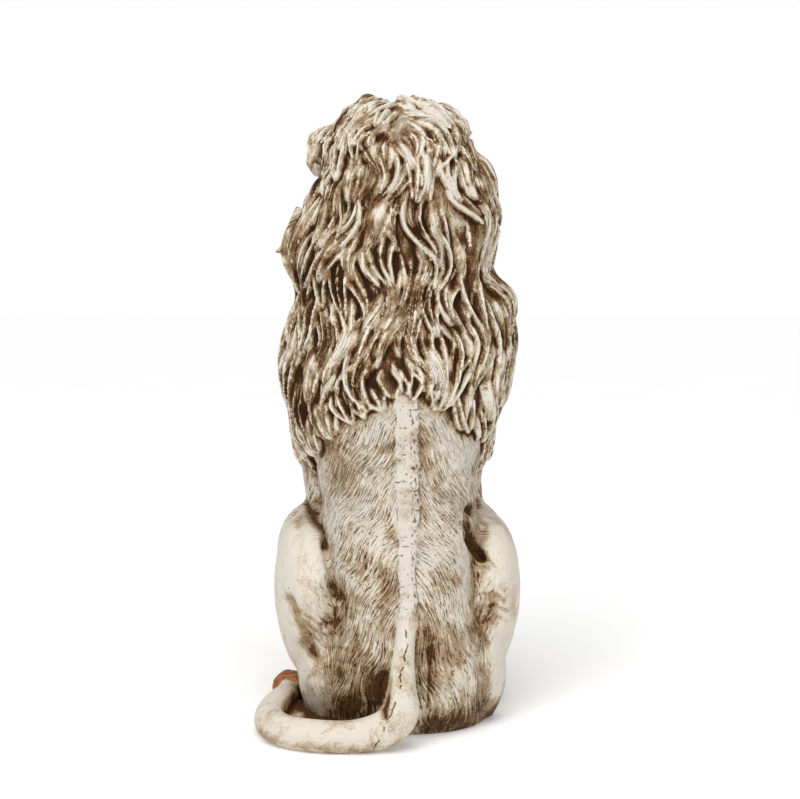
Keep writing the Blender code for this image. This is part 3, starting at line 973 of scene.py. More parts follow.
points, normals = arrays_of(fine)
first, second = edge_ends(fine)
near_average = softened(points, first, second, 3)
middle_average = softened(near_average, first, second, 6)
wide_average = softened(middle_average, first, second, 24)
crest = np.sum((points - near_average) * normals, axis=1) / MM
groove = np.sum((middle_average - near_average) * normals, axis=1) / MM
hollow = np.sum((wide_average - near_average) * normals, axis=1) / MM
height = np.zeros(len(points))
for i, point in enumerate(points):
    near, normal = body_surface.find_nearest(Vector(point))[:2]
    height[i] = (Vector(point) - near).dot(normal) / MM
for name, values in (("crest", crest), ("groove", groove), ("hollow", hollow), ("height", height)):
    print(name, "in mm, 5th, 50th and 95th percentile:", np.round(np.percentile(values, (5, 50, 95)), 2))

# %% [markdown]
# Streaks of glaze run along each lock. For them, each face of the skin looks up the lock that it lies on,
# and each of its corners works out how far it is across and along that lock's centre line. The values are
# kept at the faces' corners and not at the points, because a point on the border of two locks would have to
# belong to both.


# %% Where each corner of a face lies on its lock
def nearest_faces(surface, places):
    found, gaps = np.zeros(len(places), int), np.zeros(len(places))
    for i, place in enumerate(places):
        _, _, found[i], gaps[i] = surface.find_nearest(Vector(place))
    return found, gaps


corners = np.zeros(len(fine.loops), int)
fine.loops.foreach_get("vertex_index", corners)
middles = points[corners].reshape(-1, 3, 3).mean(axis=1)
lock_surface = BVHTree.FromPolygons([Vector(p) for p in notes.clay.points], notes.clay.faces)
face_found = nearest_faces(lock_surface, middles)[0]
first_face, first_ring = np.array(notes.first_face), np.array(notes.first_ring)
which = np.searchsorted(first_face, face_found, side="right") - 1
ring_count = np.diff(np.append(first_ring, notes.rings))
ring = (face_found - first_face[which]) // len(SCOOPED + UNDERSIDE)
centres, sides, halves, along = (
    np.concatenate(noted) for noted in (notes.centres, notes.sides, notes.halves, notes.along)
)


def on_lock(places, which, ring):
    best = np.full(len(places), np.inf)
    answer = np.zeros((len(places), 4))
    for step in (0, -1, 1, -2, 2):
        at = first_ring[which] + np.clip(ring + step, 0, ring_count[which] - 2)
        span = centres[at + 1] - centres[at]
        share = np.clip(np.sum((places - centres[at]) * span, axis=1) / np.sum(span * span, axis=1), 0, 1)
        nearest = centres[at] + span * share[:, None]
        gap = np.linalg.norm(places - nearest, axis=1)
        side = sides[at] + (sides[at + 1] - sides[at]) * share[:, None]
        half = halves[at] + (halves[at + 1] - halves[at]) * share
        across = np.sum((places - nearest) * side, axis=1)
        length = along[first_ring[which] + ring_count[which] - 1]
        far = along[at] + np.linalg.norm(span, axis=1) * share
        made = np.column_stack([across / MM, far / MM, across / half, far / length])
        closer = gap < best
        answer[closer] = made[closer]
        best = np.minimum(best, gap)
    return answer


lock_values = on_lock(points[corners], np.repeat(which, 3), np.repeat(ring, 3))
lock_seed = np.repeat(np.array(notes.seeds)[which], 3)
strand = np.column_stack([lock_values[:, :2], lock_seed * 100])
blade = np.column_stack([lock_values[:, 2:], lock_seed])
in_mane = smoothstep(4 * MM, 1.5 * MM, nearest_faces(lock_surface, points)[1])
print("share of points in the mane:", round(float(in_mane.mean()), 2))

# %% [markdown]
# The short coat on the body was cut with a pointed tool, one stroke at a time. The strokes run down and
# outwards from the spine, and round the haunches towards the ground. A function whose value stays the same
# along each stroke gives the direction everywhere: the paint and the bump then draw thin noise across it
# and long noise along it. Back, haunches, front, face and tail each have such a function. To know which one
# to use, each point first asks how near it lies to the forms that those parts were built from.


# %% Which form each point belongs to
def near_form(make, low=1.2, high=3.0):
    clay = Clay()
    make(clay)
    surface = BVHTree.FromPolygons([Vector(p) for p in clay.points], clay.faces)
    return smoothstep(high * MM, low * MM, nearest_faces(surface, points)[1])


def haunches(clay):
    haunch(clay, -1)
    haunch(clay, 1)


def forelegs(clay):
    foreleg(clay, -1)
    foreleg(clay, 1)


x, y, z = (points / MM).T
head = on_head_axes(points)
from_spine = np.abs(x)
behind = smoothstep(-60, -20, y)
on_haunch = near_form(haunches, 3.0, 6.0) * smoothstep(40, 52, from_spine) * (1 - in_mane)
on_foreleg = near_form(forelegs, 3.0, 6.0) * (1 - on_haunch) * (1 - in_mane)
on_tail = near_form(tail, 1.5, 3.0) * smoothstep(122, 112, z)
on_floor = near_form(curl_floor, 2.0, 4.0) * (1 - on_tail) * smoothstep(12, 9, z)
on_tuft = near_form(brush) * smoothstep(14, 6, y)
for name, share in (("haunches", on_haunch), ("tail", on_tail), ("tuft", on_tuft)):
    print("points on", name, int(share.sum()))

# %% [markdown]
# The strip of the spine is 12 mm wide to each side at the top, and its right edge draws in further down.
# Its place across is measured so that both edges lie at 12 all the way. Two small waves make the edges
# uneven.

# %% The strip of the spine
BAND_EDGE = 12.0
half_band = np.where(x < 0, BAND_EDGE - 6.0 * smoothstep(215, 165, z), 11.4)
uneven = x + 0.9 * np.sin(z / 6.5) + 0.6 * np.sin(z / 2.9 + 1.0)
across_band = uneven * BAND_EDGE / half_band
on_spine = smoothstep(13.0, 11.4, np.abs(across_band)) * smoothstep(60, 85, y) * (1 - in_mane)
on_spine *= smoothstep(112, 122, z)
print("points on the strip:", int(on_spine.sum()))

# %% [markdown]
# On the tail, each point looks up the nearest place of the tail's middle line. How far it is along that
# line, and at which angle round it, are its two coordinates. The angle is multiplied by 16 mm, about the
# tail's radius, which makes it a length.


# %% Places on the tail
TAIL_ROUND = 16


def tail_places():
    line = flowing(tail_stations(), 4)[:, :3]
    length = np.concatenate([[0], np.cumsum(np.linalg.norm(np.diff(line, axis=0), axis=1))])
    ways = np.gradient(line, axis=0)
    nearest = np.argmin(np.linalg.norm((points / MM)[:, None] - line, axis=2), axis=1)
    away = points / MM - line[nearest]
    along = length[nearest] + np.sum(away * ways[nearest], axis=1) / np.linalg.norm(ways[nearest], axis=1)
    side = np.cross(ways[nearest], (0, 0, 1))
    top = np.cross(side, ways[nearest])
    side /= np.linalg.norm(side, axis=1, keepdims=True)
    top /= np.linalg.norm(top, axis=1, keepdims=True)
    return np.arctan2(np.sum(away * side, axis=1), np.sum(away * top, axis=1)) * TAIL_ROUND, along


# %% [markdown]
# Each part gives two numbers, in millimetres: one across its strokes and one along them. An angle is
# multiplied by a rough radius of its part, so that it is a length as well. On the back the strokes fan out
# from the spine and swing a little. On a haunch they are rays from a point under it, on a foreleg lines
# down it, and on the face rays from the nose. Each face of the skin takes one part's numbers for all its
# corners, because a face with two kinds would smear.


# %% Direction of the coat's strokes
TRUNK_ROUND, HAUNCH_ROUND, LEG_ROUND, FACE_ROUND = 110, 140, 26, 45


def coat():
    over = np.clip((z - 80) / 100, 0, 1)
    bend = 0.2 * z + 0.42 * (100 * (over**3 - over**4 / 2) + np.maximum(z - 180, 0))
    round_trunk = TRUNK_ROUND * np.arctan2(from_spine, y - 20)
    lively = 4.0 * np.sin(z / 23 + x / 17) + 2.2 * np.sin(z / 9.5 - x / 12 + 1.5 * np.sin(x / 25))
    back = 0.8 * round_trunk + bend + lively, 0.5 * round_trunk - 0.8 * z
    aside, above = round_trunk - 38, z + 45
    thigh = np.arctan2(aside, above) * HAUNCH_ROUND, np.hypot(aside, above)
    off_x, off_y = from_spine - 45 - (z - 26) * 0.116, y + 114 - (z - 26) * 0.243
    foreleg_places = np.arctan2(off_x, -off_y) * LEG_ROUND, z - 0.9 * np.hypot(off_x, off_y)
    aside, above = head[:, 0], head[:, 2] + 20
    face = np.arctan2(aside, above) * FACE_ROUND, np.hypot(aside, above) - 0.6 * head[:, 1]

    in_front = (y < -35) & (on_haunch < 0.5)
    ways = (
        (back, np.ones(len(points), bool)),
        (thigh, on_haunch > 0.5),
        ((x, z), in_front),
        (foreleg_places, on_foreleg > 0.5),
        (face, in_front & (z > 420) & (in_mane < 0.5)),
        (tail_places(), on_tail > 0.5),
    )
    across, along = np.empty(len(corners)), np.empty(len(corners))
    for (wide, far), wanted in ways:
        chosen = np.repeat(wanted[corners].reshape(-1, 3).mean(axis=1) > 0.5, 3)
        across[chosen], along[chosen] = wide[corners][chosen], far[corners][chosen]
    return across, along


coat_across, coat_along = coat()
print("the coat in mm, across and along:", [round(float(np.ptp(v))) for v in (coat_across, coat_along)])

# %% [markdown]
# Brush work is never even. Soft spots of more or less glaze are laid over the back view: first those of the
# coat, and then those of the mane. The dark spot low on the rump inside the tail's curl, and the dark band
# along the ground on the right, are glaze and painted shade.

# %% Spots of more or less glaze
SPOTS = [  # place in x and z, reach, share of glaze
    ((46, 84), (34, 46), 0.13),
    ((34, 60), (26, 24), 0.15),
    # glaze and painted shade, low on the rump inside the tail's curl
    ((52, 30), (42, 26), 0.45),
    ((-34, 72), (30, 40), 0.12),
    ((-17, 76), (9, 44), 0.22),
    # glaze and painted shade along the ground, on the right of the rump
    ((-55, 14), (50, 14), 0.45),
    ((56, 200), (16, 40), 0.08),
    ((40, 262), (20, 16), 0.14),
    ((32, 207), (9, 15), 0.22),
    ((20, 142), (10, 22), 0.22),
    ((42, 46), (18, 24), 0.25),
    ((86, 202), (6, 16), 0.26),
    ((98, 96), (14, 30), 0.18),
    ((-60, 34), (26, 26), 0.12),
    ((-34, 78), (22, 36), -0.06),
    ((-40, 262), (24, 22), -0.15),
    ((30, 226), (16, 16), -0.08),
    ((-43, 204), (9, 14), 0.20),
    ((-32, 146), (10, 10), 0.20),
    ((-82, 108), (14, 14), 0.32),
    ((68, 173), (10, 14), -0.12),
    ((120, 150), (14, 60), -0.16),
    ((-112, 150), (14, 60), -0.14),
    ((-56, 150), (9, 45), -0.14),
]
MANE_SPOTS = [
    ((-8, 600), (16, 26), -0.18),
    ((-6, 596), (66, 36), -0.20),
    ((-40, 510), (22, 40), -0.18),
    ((20, 530), (20, 34), -0.08),
    ((8, 450), (34, 26), 0.14),
    ((28, 430), (10, 34), 0.16),
    ((60, 440), (30, 40), 0.08),
    ((-36, 360), (22, 30), -0.08),
    ((30, 380), (24, 30), -0.06),
    ((60, 270), (30, 30), 0.10),
    ((-70, 330), (20, 40), 0.06),
    ((-20, 270), (22, 26), -0.08),
]


def spotted(spots):
    total = np.zeros(len(points))
    for (spot_x, spot_z), (reach_x, reach_z), amount in spots:
        total += amount * np.exp(-(((x - spot_x) / reach_x) ** 2) - ((z - spot_z) / reach_z) ** 2)
    return total * behind


print("spots:", len(SPOTS), "on the coat and", len(MANE_SPOTS), "in the mane")

# %% [markdown]
# `tone` says how much glaze and painted shade the coat carries. It starts from an even wash with more on
# the rump. The outer sides of the haunches are nearly bare, and the spots above add to it or take away. The
# undersides of the forms, the tail's inner wall towards its curl and the floor of the curl are painted dark
# as shade, and the tail is lighter on top and darker towards the ground. Along the creases the glaze is
# partly painted shade. `stroked` says in the same way how strongly the strokes of the coat show.

# %% Tone of the coat, and share of strokes
EVEN_WASH = 0.25
MORE_ON_RUMP = 0.12
THIN_WASH = 0.13
# painted shade on the floor of the tail's curl
CURL_FLOOR_SHADE = 0.85
CURL_X, CURL_Y = 74, 104  # the middle of the tail's curl


def glaze_and_shade_left():
    left = EVEN_WASH + MORE_ON_RUMP * smoothstep(200, 60, z) * smoothstep(-40, 40, y)
    bare_outer_haunch = on_haunch * smoothstep(66, 92, from_spine) * (0.30 + 0.70 * smoothstep(-40, 10, y))
    left += 0.85 * (THIN_WASH - left) * bare_outer_haunch
    left += spotted(SPOTS)
    left -= 0.10 * on_spine + 0.14 * smoothstep(0.3, 2.5, hollow) * smoothstep(215, 260, z) * behind
    # painted shade on the undersides of the forms
    left += 0.30 * smoothstep(-0.15, -0.75, normals[:, 2])
    # painted shade on the inner wall of the tail, where it faces the middle of the curl
    to_x, to_y = CURL_X - x, CURL_Y - y
    inward = smoothstep(0.1, 0.8, (normals[:, 0] * to_x + normals[:, 1] * to_y) / np.hypot(to_x, to_y))
    # the tail is lighter on top and darker towards the ground
    on_top = 0.15 + 0.42 * smoothstep(17, 7, z)
    left += (on_top + 0.85 * inward * smoothstep(27, 19, z) - left) * on_tail
    left += (THIN_WASH - left) * smoothstep(-50, -75, y) * smoothstep(410, 440, z)
    # painted shade on the floor of the curl
    left += (CURL_FLOOR_SHADE - left) * on_floor
    # glaze and painted shade along the creases
    for line, width, _, amount in HOLLOWS + WRINKLES:
        gap = distance_to_line(np.column_stack([x, z]), line) / width
        left += behind * amount * np.exp(-(gap**2))
    return left * (1 - in_mane) + spotted(MANE_SPOTS) * in_mane


def stroked():
    share = 1 - 0.45 * smoothstep(-20, -60, y)
    share -= 0.82 * on_haunch * smoothstep(66, 90, from_spine) * (0.25 + 0.75 * smoothstep(-40, 10, y))
    share -= 0.50 * behind * np.exp(-(((x + 56) / 10) ** 2) - ((z - 150) / 45) ** 2)
    share -= 0.45 * behind * np.exp(-(((x + 40) / 26) ** 2) - ((z - 70) / 45) ** 2)
    share *= 1 - 0.9 * on_tail - on_floor
    return np.clip(share * smoothstep(2, 18, z + 40 * (1 + normals[:, 2])), 0, 1)


tone, strokes_seen = glaze_and_shade_left(), stroked()
print("tone, 5th, 50th and 95th percentile:", np.round(np.percentile(tone, (5, 50, 95)), 2))

# %% [markdown]
# All the measurements are stored on the mesh as named attributes, which a material reads back by name. Then
# the figure is moved to the solid's place, held inside its box and declared to stand for it.


# %% Attributes, and the figure in its place
def store(mesh, name, values, domain="POINT"):
    made = mesh.attributes.new(name, "FLOAT_VECTOR", domain)
    made.data.foreach_set("vector", np.ascontiguousarray(values, dtype=np.float32).ravel())


store(fine, "relief", np.column_stack([crest, groove, hollow]))
store(fine, "strand", strand, "CORNER")
store(fine, "blade", blade, "CORNER")
store(fine, "coat", np.column_stack([coat_across, coat_along, strokes_seen[corners]]), "CORNER")
store(fine, "places", np.column_stack([in_mane, tone, height]))
store(fine, "face", np.column_stack([np.abs(head[:, 0]), head[:, 1:]]))
store(fine, "spine", np.column_stack([across_band, z, on_spine]))
fine.shade_smooth()
lion = bpy.data.objects.new("carved_lion", fine)
bpy.context.scene.collection.objects.link(lion)
lion.data.transform(Matrix.Translation(-FIGURE_MIDDLE))
places = np.array([v.co for v in fine.vertices]).clip(Vector(solid_low) + EDGE, Vector(solid_high) - EDGE)
fine.vertices.foreach_set("co", places.astype(np.float32).ravel())
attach(lion, "root")
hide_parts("lion")
print("attributes:", [a.name for a in fine.attributes])

# %% [markdown]
# ## Paint
#
# The material is built from small groups of shader nodes, each with named inputs and outputs, as one would
# mix pots of paint before starting. The helpers below add a node, set its values and link its inputs in one
# line. `chained` makes a helper out of one kind of sum, which then takes any number of values.


# %% Helpers for shader nodes
def add(tree, kind, inputs=None, **settings):
    made = tree.nodes.new(kind)
    for name, value in settings.items():
        setattr(made, name, value)
    for name, value in (inputs or {}).items():
        if isinstance(value, bpy.types.NodeSocket):
            tree.links.new(value, made.inputs[name])
        else:
            made.inputs[name].default_value = value
    return made


def reckon(tree, operation, *values, clamp=False):
    numbered = dict(enumerate(values))
    return add(tree, "ShaderNodeMath", numbered, operation=operation, use_clamp=clamp).outputs[0]


def chained(operation):
    def chain(tree, *values):
        made = values[0]
        for value in values[1:]:
            made = reckon(tree, operation, made, value)
        return made

    return chain


total, product, highest = chained("ADD"), chained("MULTIPLY"), chained("MAXIMUM")


def remap(tree, value, low, high, out_low=0.0, out_high=1.0, smooth=True):
    ends = {"From Min": low, "From Max": high, "To Min": out_low, "To Max": out_high}
    kind = "SMOOTHSTEP" if smooth else "LINEAR"
    made = add(tree, "ShaderNodeMapRange", {"Value": value, **ends}, interpolation_type=kind)
    return made.outputs["Result"]


def spread(tree, value, low, high):
    return remap(tree, value, 0, 1, low, high, smooth=False)


def between(tree, share, first, second):
    return add(tree, "ShaderNodeMix", {0: share, 2: first, 3: second}).outputs[0]


# %% [markdown]
# Most marks on the figure come from two more helpers. `stretched` is noise that is drawn out along one
# direction, and `thin_line` keeps only the places where a value passes a level, which makes lines out of a
# cloud.


# %% Helpers for places, noise and lines
def object_place(tree):
    return add(tree, "ShaderNodeTexCoord").outputs["Object"]


def parts_of(tree, vector):
    return add(tree, "ShaderNodeSeparateXYZ", {0: vector}).outputs


def noise(tree, place, scale=1.0, detail=2.0):
    inputs = {"Vector": place, "Scale": scale, "Detail": detail}
    return add(tree, "ShaderNodeTexNoise", inputs).outputs["Fac"]


def stretched(tree, places, across, along, seed, detail=2.0):
    scaled = {0: product(tree, places[0], across), 1: product(tree, places[1], along), 2: seed}
    return noise(tree, add(tree, "ShaderNodeCombineXYZ", scaled).outputs[0], detail=detail)


def thin_line(tree, value, level, half, core=0.25):
    apart = reckon(tree, "ABSOLUTE", reckon(tree, "SUBTRACT", value, level))
    return remap(tree, apart, half, half * core)


def new_group(name, inputs, outputs):
    tree = bpy.data.node_groups.new(name, "ShaderNodeTree")
    for label, kind, default in inputs:
        socket = tree.interface.new_socket(label, in_out="INPUT", socket_type=kind)
        if default is not None:
            socket.default_value = default
    for label, kind in outputs:
        tree.interface.new_socket(label, in_out="OUTPUT", socket_type=kind)
    return tree, tree.nodes.new("NodeGroupInput").outputs, tree.nodes.new("NodeGroupOutput").inputs


FLOAT, VECTOR = "NodeSocketFloat", "NodeSocketVector"


# %% [markdown]
# **Strands.** Between the big rims of a lock the modeller scratched finer lines, and a loaded brush leaves
# thin parallel streaks of glaze. Both are noise that is stretched far longer than it is wide. The streaks
# use the noise as it is. The fine ridges use only the places where its value passes one half, which are
# thin lines. The furrows are cut in the same way and broken here and there.


# %% Group: strands of a lock
def strands_group():
    outputs = [("Ridges", FLOAT), ("Furrows", FLOAT), ("Streaks", FLOAT)]
    tree, given, made = new_group("Carved strands", [("Strand", VECTOR, None)], outputs)
    places = parts_of(tree, given["Strand"])

    def lines(across, along, detail):
        return stretched(tree, places, across, along, places[2], detail)

    ridges = thin_line(tree, lines(0.21, 0.012, 1.0), 0.5, 0.055, core=0.0)
    tree.links.new(ridges, made["Ridges"])
    broken = remap(tree, lines(0.06, 0.035, 0.0), 0.46, 0.56)
    furrows = thin_line(tree, lines(0.27, 0.016, 0.5), 0.46, 0.050, core=0.0)
    tree.links.new(product(tree, furrows, broken), made["Furrows"])
    streaks = between(tree, 0.25, lines(0.2, 0.02, 2.0), lines(0.9, 0.05, 1.0))
    tree.links.new(remap(tree, streaks, 0.36, 0.64), made["Streaks"])
    return tree


strands = strands_group()
print("group:", strands.name)


# %% [markdown]
# **Strokes.** The coat's strokes are the same idea. `Combed` is the dense texture of a wire brush drawn
# through wet clay. `Cut` is the single deeper stroke: its noise is broken along its length, and only the
# lowest values count. A broad noise bends the strokes, so that they don't run like lines of a map.


# %% Group: strokes of the coat
def strokes_group():
    outputs = [("Cut", FLOAT), ("Combed", FLOAT)]
    tree, given, made = new_group("Coat strokes", [("Coat", VECTOR, None)], outputs)
    across, along, _ = parts_of(tree, given["Coat"])
    bend = noise(tree, object_place(tree), 26.0, 1.0)
    places = (total(tree, across, product(tree, bend, 9.0)), along)
    long_cuts = remap(tree, stretched(tree, places, 0.72, 0.060, 0.0), 0.400, 0.355)
    short_cuts = remap(tree, stretched(tree, places, 1.00, 0.110, 9.0), 0.385, 0.340)
    tree.links.new(highest(tree, long_cuts, short_cuts), made["Cut"])
    combed = remap(tree, stretched(tree, places, 0.60, 0.045, 5.0), 0.36, 0.64)
    tree.links.new(combed, made["Combed"])
    return tree


strokes = strokes_group()
print("group:", strokes.name)


# %% [markdown]
# **Face.** The eyes, the nostrils and the mouth of a cast face are picked out with a little more glaze.
# Their lines are drawn from each point's place on the head, so they stay thin wherever the triangles lie.
# `distance` is an ellipse's own measure: 0 in its centre and 1 on its rim. Both halves of the face are
# drawn at once, because the place to the side has no sign.


# %% Group: lines of the face
EYE = (28.0, 16.0)
EYE_SLANT = 0.30


def face_lines_group():
    outputs = [("Lines", FLOAT), ("Tint", FLOAT)]
    tree, given, made = new_group("Face lines", [("Face", VECTOR, None)], outputs)
    aside, ahead, up = parts_of(tree, given["Face"])
    slant = product(tree, reckon(tree, "SUBTRACT", aside, EYE[0]), EYE_SLANT)
    slanted = reckon(tree, "SUBTRACT", up, slant)

    def distance(centre, radii, rise=up):
        parts = []
        for value, middle, radius in zip((aside, rise), centre, radii):
            parts.append(reckon(tree, "DIVIDE", reckon(tree, "SUBTRACT", value, middle), radius))
        squares = [product(tree, part, part) for part in parts]
        return reckon(tree, "SQRT", total(tree, *squares))

    in_front = remap(tree, ahead, -58.0, -66.0)
    from_eye = distance(EYE, (10.5, 4.8), slanted)
    lids = thin_line(tree, from_eye, 1.0, 0.28)
    ball_of_eye = remap(tree, distance(EYE, (4.6, 4.6)), 1.1, 0.9)
    iris = product(tree, ball_of_eye, remap(tree, from_eye, 1.0, 0.9))
    pupil = product(tree, remap(tree, distance(EYE, (2.0, 2.2)), 1.2, 0.8), 0.95)
    nostril = remap(tree, distance((9.0, -18.0), (4.6, 2.6)), 1.2, 0.7)
    split = product(tree, remap(tree, aside, 1.4, 0.4), thin_line(tree, up, -34.0, 12.0))
    muzzle = thin_line(tree, distance((18.0, -34.0), (23.0, 20.0)), 1.0, 0.075)
    mouth = product(tree, muzzle, remap(tree, up, -41.0, -47.0, 0.0, 0.75))
    lines = highest(tree, lids, pupil, nostril, split, mouth)
    tree.links.new(product(tree, lines, in_front), made["Lines"])
    nose = remap(tree, distance((0.0, -14.0), (20.0, 11.0)), 1.1, 0.75)
    nose = product(tree, nose, remap(tree, ahead, -106.0, -112.0))
    socket = remap(tree, distance(EYE, (16.0, 10.0), slanted), 1.3, 0.7, 0.0, 0.45)
    eye = product(tree, highest(tree, socket, iris), in_front)
    tree.links.new(highest(tree, nose, eye), made["Tint"])
    return tree


face_lines = face_lines_group()
print("group:", face_lines.name)


# %% [markdown]
# **Pinholes.** Air bubbles in the resin leave small round holes, a millimetre or so wide. A Voronoi texture
# puts one point in each cell of space. Only some of the cells keep theirs.


# %% Group: casting pinholes
def pinholes_group():
    tree, given, made = new_group(
        "Casting pinholes",
        [("Spacing mm", FLOAT, 9.0), ("Size mm", FLOAT, 0.7), ("Share kept", FLOAT, 0.25)],
        [("Hole", FLOAT)],
    )
    scale = reckon(tree, "DIVIDE", 1000.0, given["Spacing mm"])
    inputs = {"Vector": object_place(tree), "Scale": scale}
    cells = add(tree, "ShaderNodeTexVoronoi", inputs).outputs
    distance = product(tree, cells["Distance"], given["Spacing mm"])
    luck = add(tree, "ShaderNodeSeparateColor", {0: cells["Color"]}).outputs
    kept = reckon(tree, "LESS_THAN", luck[0], given["Share kept"])
    size = product(tree, given["Size mm"], spread(tree, luck[1], 0.5, 1.4))
    inside = reckon(tree, "SUBTRACT", 1.0, reckon(tree, "DIVIDE", distance, size), clamp=True)
    tree.links.new(product(tree, remap(tree, inside, 0.0, 0.5), kept), made["Hole"])
    return tree


pinholes = pinholes_group()
print("group:", pinholes.name)


# %% [markdown]
# ** Seam of the spine.** The band down the back is worn: a thin brown line along each edge, a broken row of pits a little right of its middle, and a few cracks across. The line along the left edge is partly painted shade, where the raised band steps down to the coat. `Split` is the one long crack that wanders down the tail.


# %% Group: marks and edge shade of the spine's band
SPLIT_TOP = 115.0  # the level where the long crack begins


def band_marks_and_shade_group():
    outputs = [("Marks", FLOAT), ("Split", FLOAT), ("Band", FLOAT)]
    tree, given, made = new_group("Band marks and edge shade", [("Spine", VECTOR, None)], outputs)
    across, level, on_band = parts_of(tree, given["Spine"])

    def cloud(wide, far, seed, low, high):
        return remap(tree, stretched(tree, (across, level), wide, far, seed, 3.0), low, high)

    def line_at(middle, half):
        return thin_line(tree, across, middle, half)

    # the line along the left edge: a brown line, and partly painted shade at the band's step
    left_edge_line_and_shade = product(tree, line_at(BAND_EDGE, 1.6), cloud(0.1, 0.09, 1.0, 0.50, 0.62))
    right_edge = product(tree, line_at(-BAND_EDGE, 2.6), cloud(0.3, 0.16, 2.0, 0.42, 0.56))
    pits = product(tree, line_at(-6.0, 5.0), cloud(0.45, 0.21, 3.0, 0.45, 0.36))
    specks = cloud(0.42, 0.30, 4.0, 0.35, 0.28)
    cracks = cloud(0.05, 0.36, 6.0, 0.345, 0.30)
    marks = highest(tree, left_edge_line_and_shade, right_edge, pits, specks, cracks)
    tree.links.new(product(tree, marks, on_band), made["Marks"])

    below = highest(tree, reckon(tree, "SUBTRACT", SPLIT_TOP, level), 0.0)
    run = total(tree, 5.2, product(tree, below, below, 0.0030))
    wavy = stretched(tree, (across, level), 0.0, 0.12, 7.0, 3.0)
    wander = remap(tree, wavy, 0.3, 0.7, -1.6, 1.6, smooth=False)
    split = line_at(total(tree, run, wander), 1.05)
    split = product(tree, split, cloud(0.2, 0.17, 8.0, 0.44, 0.54), remap(tree, below, 1.0, 12.0))
    tree.links.new(split, made["Split"])
    tree.links.new(on_band, made["Band"])
    return tree


band_marks_and_shade = band_marks_and_shade_group()
print("group:", band_marks_and_shade.name)


# %% [markdown]
# **Glaze.** The wash is deepest in the hollows and is wiped off the crests. Broad, soft noise makes the
# wiping uneven, because no one wipes a statue evenly. `Depth` is how much glaze the carving holds before
# wiping, and `Marks` is what single strokes and streaks add to it.


# %% Group: rubbed glaze
def glaze_group():
    tree, given, made = new_group(
        "Rubbed glaze",
        [
            ("Depth", FLOAT, 0.0),
            ("Marks", FLOAT, 0.0),
            ("Crest", FLOAT, 0.0),
            ("Wiped", FLOAT, 0.5),
            ("Stain", FLOAT, 0.3),
            ("Stain size mm", FLOAT, 30.0),
        ],
        [("Glaze", FLOAT)],
    )
    place = object_place(tree)
    scale = reckon(tree, "DIVIDE", 1000.0, given["Stain size mm"])
    inputs = {"Vector": place, "Scale": scale, "Detail": 6.0, "Roughness": 0.66, "Distortion": 0.5}
    cloud = add(tree, "ShaderNodeTexNoise", inputs).outputs["Fac"]
    stain = product(tree, remap(tree, cloud, 0.38, 0.66, -0.5, 0.5), given["Stain"])
    speckle = remap(tree, noise(tree, place, 520.0), 0.32, 0.68, -0.11, 0.11, smooth=False)
    held = total(tree, given["Depth"], given["Marks"], stain, speckle)
    rubbed = product(tree, given["Crest"], given["Wiped"])
    tree.links.new(reckon(tree, "SUBTRACT", held, rubbed, clamp=True), made["Glaze"])
    return tree


glaze = glaze_group()
print("group:", glaze.name)

# %% [markdown]
# ## The ivory finish
#
# One colour ramp holds the whole paint scheme: bare ivory where the glaze was wiped off, then tan, then
# umber, and almost black in the deepest cuts. The tail's brush was glazed over an ochre ground and has a
# ramp of its own. `placed` puts a group into a material, and `measured` reads an attribute of the mesh.

# %% Paint schemes
IVORY = [
    (0.00, (0.80, 0.755, 0.67)),
    (0.18, (0.62, 0.53, 0.405)),
    (0.40, (0.40, 0.295, 0.185)),
    (0.60, (0.225, 0.132, 0.062)),
    (0.80, (0.096, 0.042, 0.013)),
    (1.00, (0.034, 0.011, 0.003)),
]
OCHRE = [
    (0.00, (0.55, 0.22, 0.035)),
    (0.30, (0.36, 0.115, 0.014)),
    (0.60, (0.15, 0.040, 0.006)),
    (1.00, (0.04, 0.012, 0.004)),
]


def ramp(tree, stops, value):
    made = add(tree, "ShaderNodeValToRGB", {"Fac": value})
    elements = made.color_ramp.elements
    while len(elements) < len(stops):
        elements.new(0.5)
    for element, (position, colour) in zip(elements, stops):
        element.position = position
        element.color = (*colour, 1)
    return made.outputs["Color"]


def placed(tree, group, inputs):
    return add(tree, "ShaderNodeGroup", inputs, node_tree=group).outputs


def measured(tree, name):
    return add(tree, "ShaderNodeAttribute", attribute_name=name).outputs["Vector"]


print("stops of ivory and ochre:", len(IVORY), len(OCHRE))

# %% [markdown]
# On a lock of the mane the scooped middle is brown and the two rims are ivory. Each lock also has a number
# of its own, so that one is nearly bare and the next one dark, and its brown lies a little to one side of
# its middle.


# %% Glaze in the mane
MANE_WASH = 0.40
MANE_WIPING = {"Wiped": 0.60, "Stain": 0.50, "Stain size mm": 36.0}


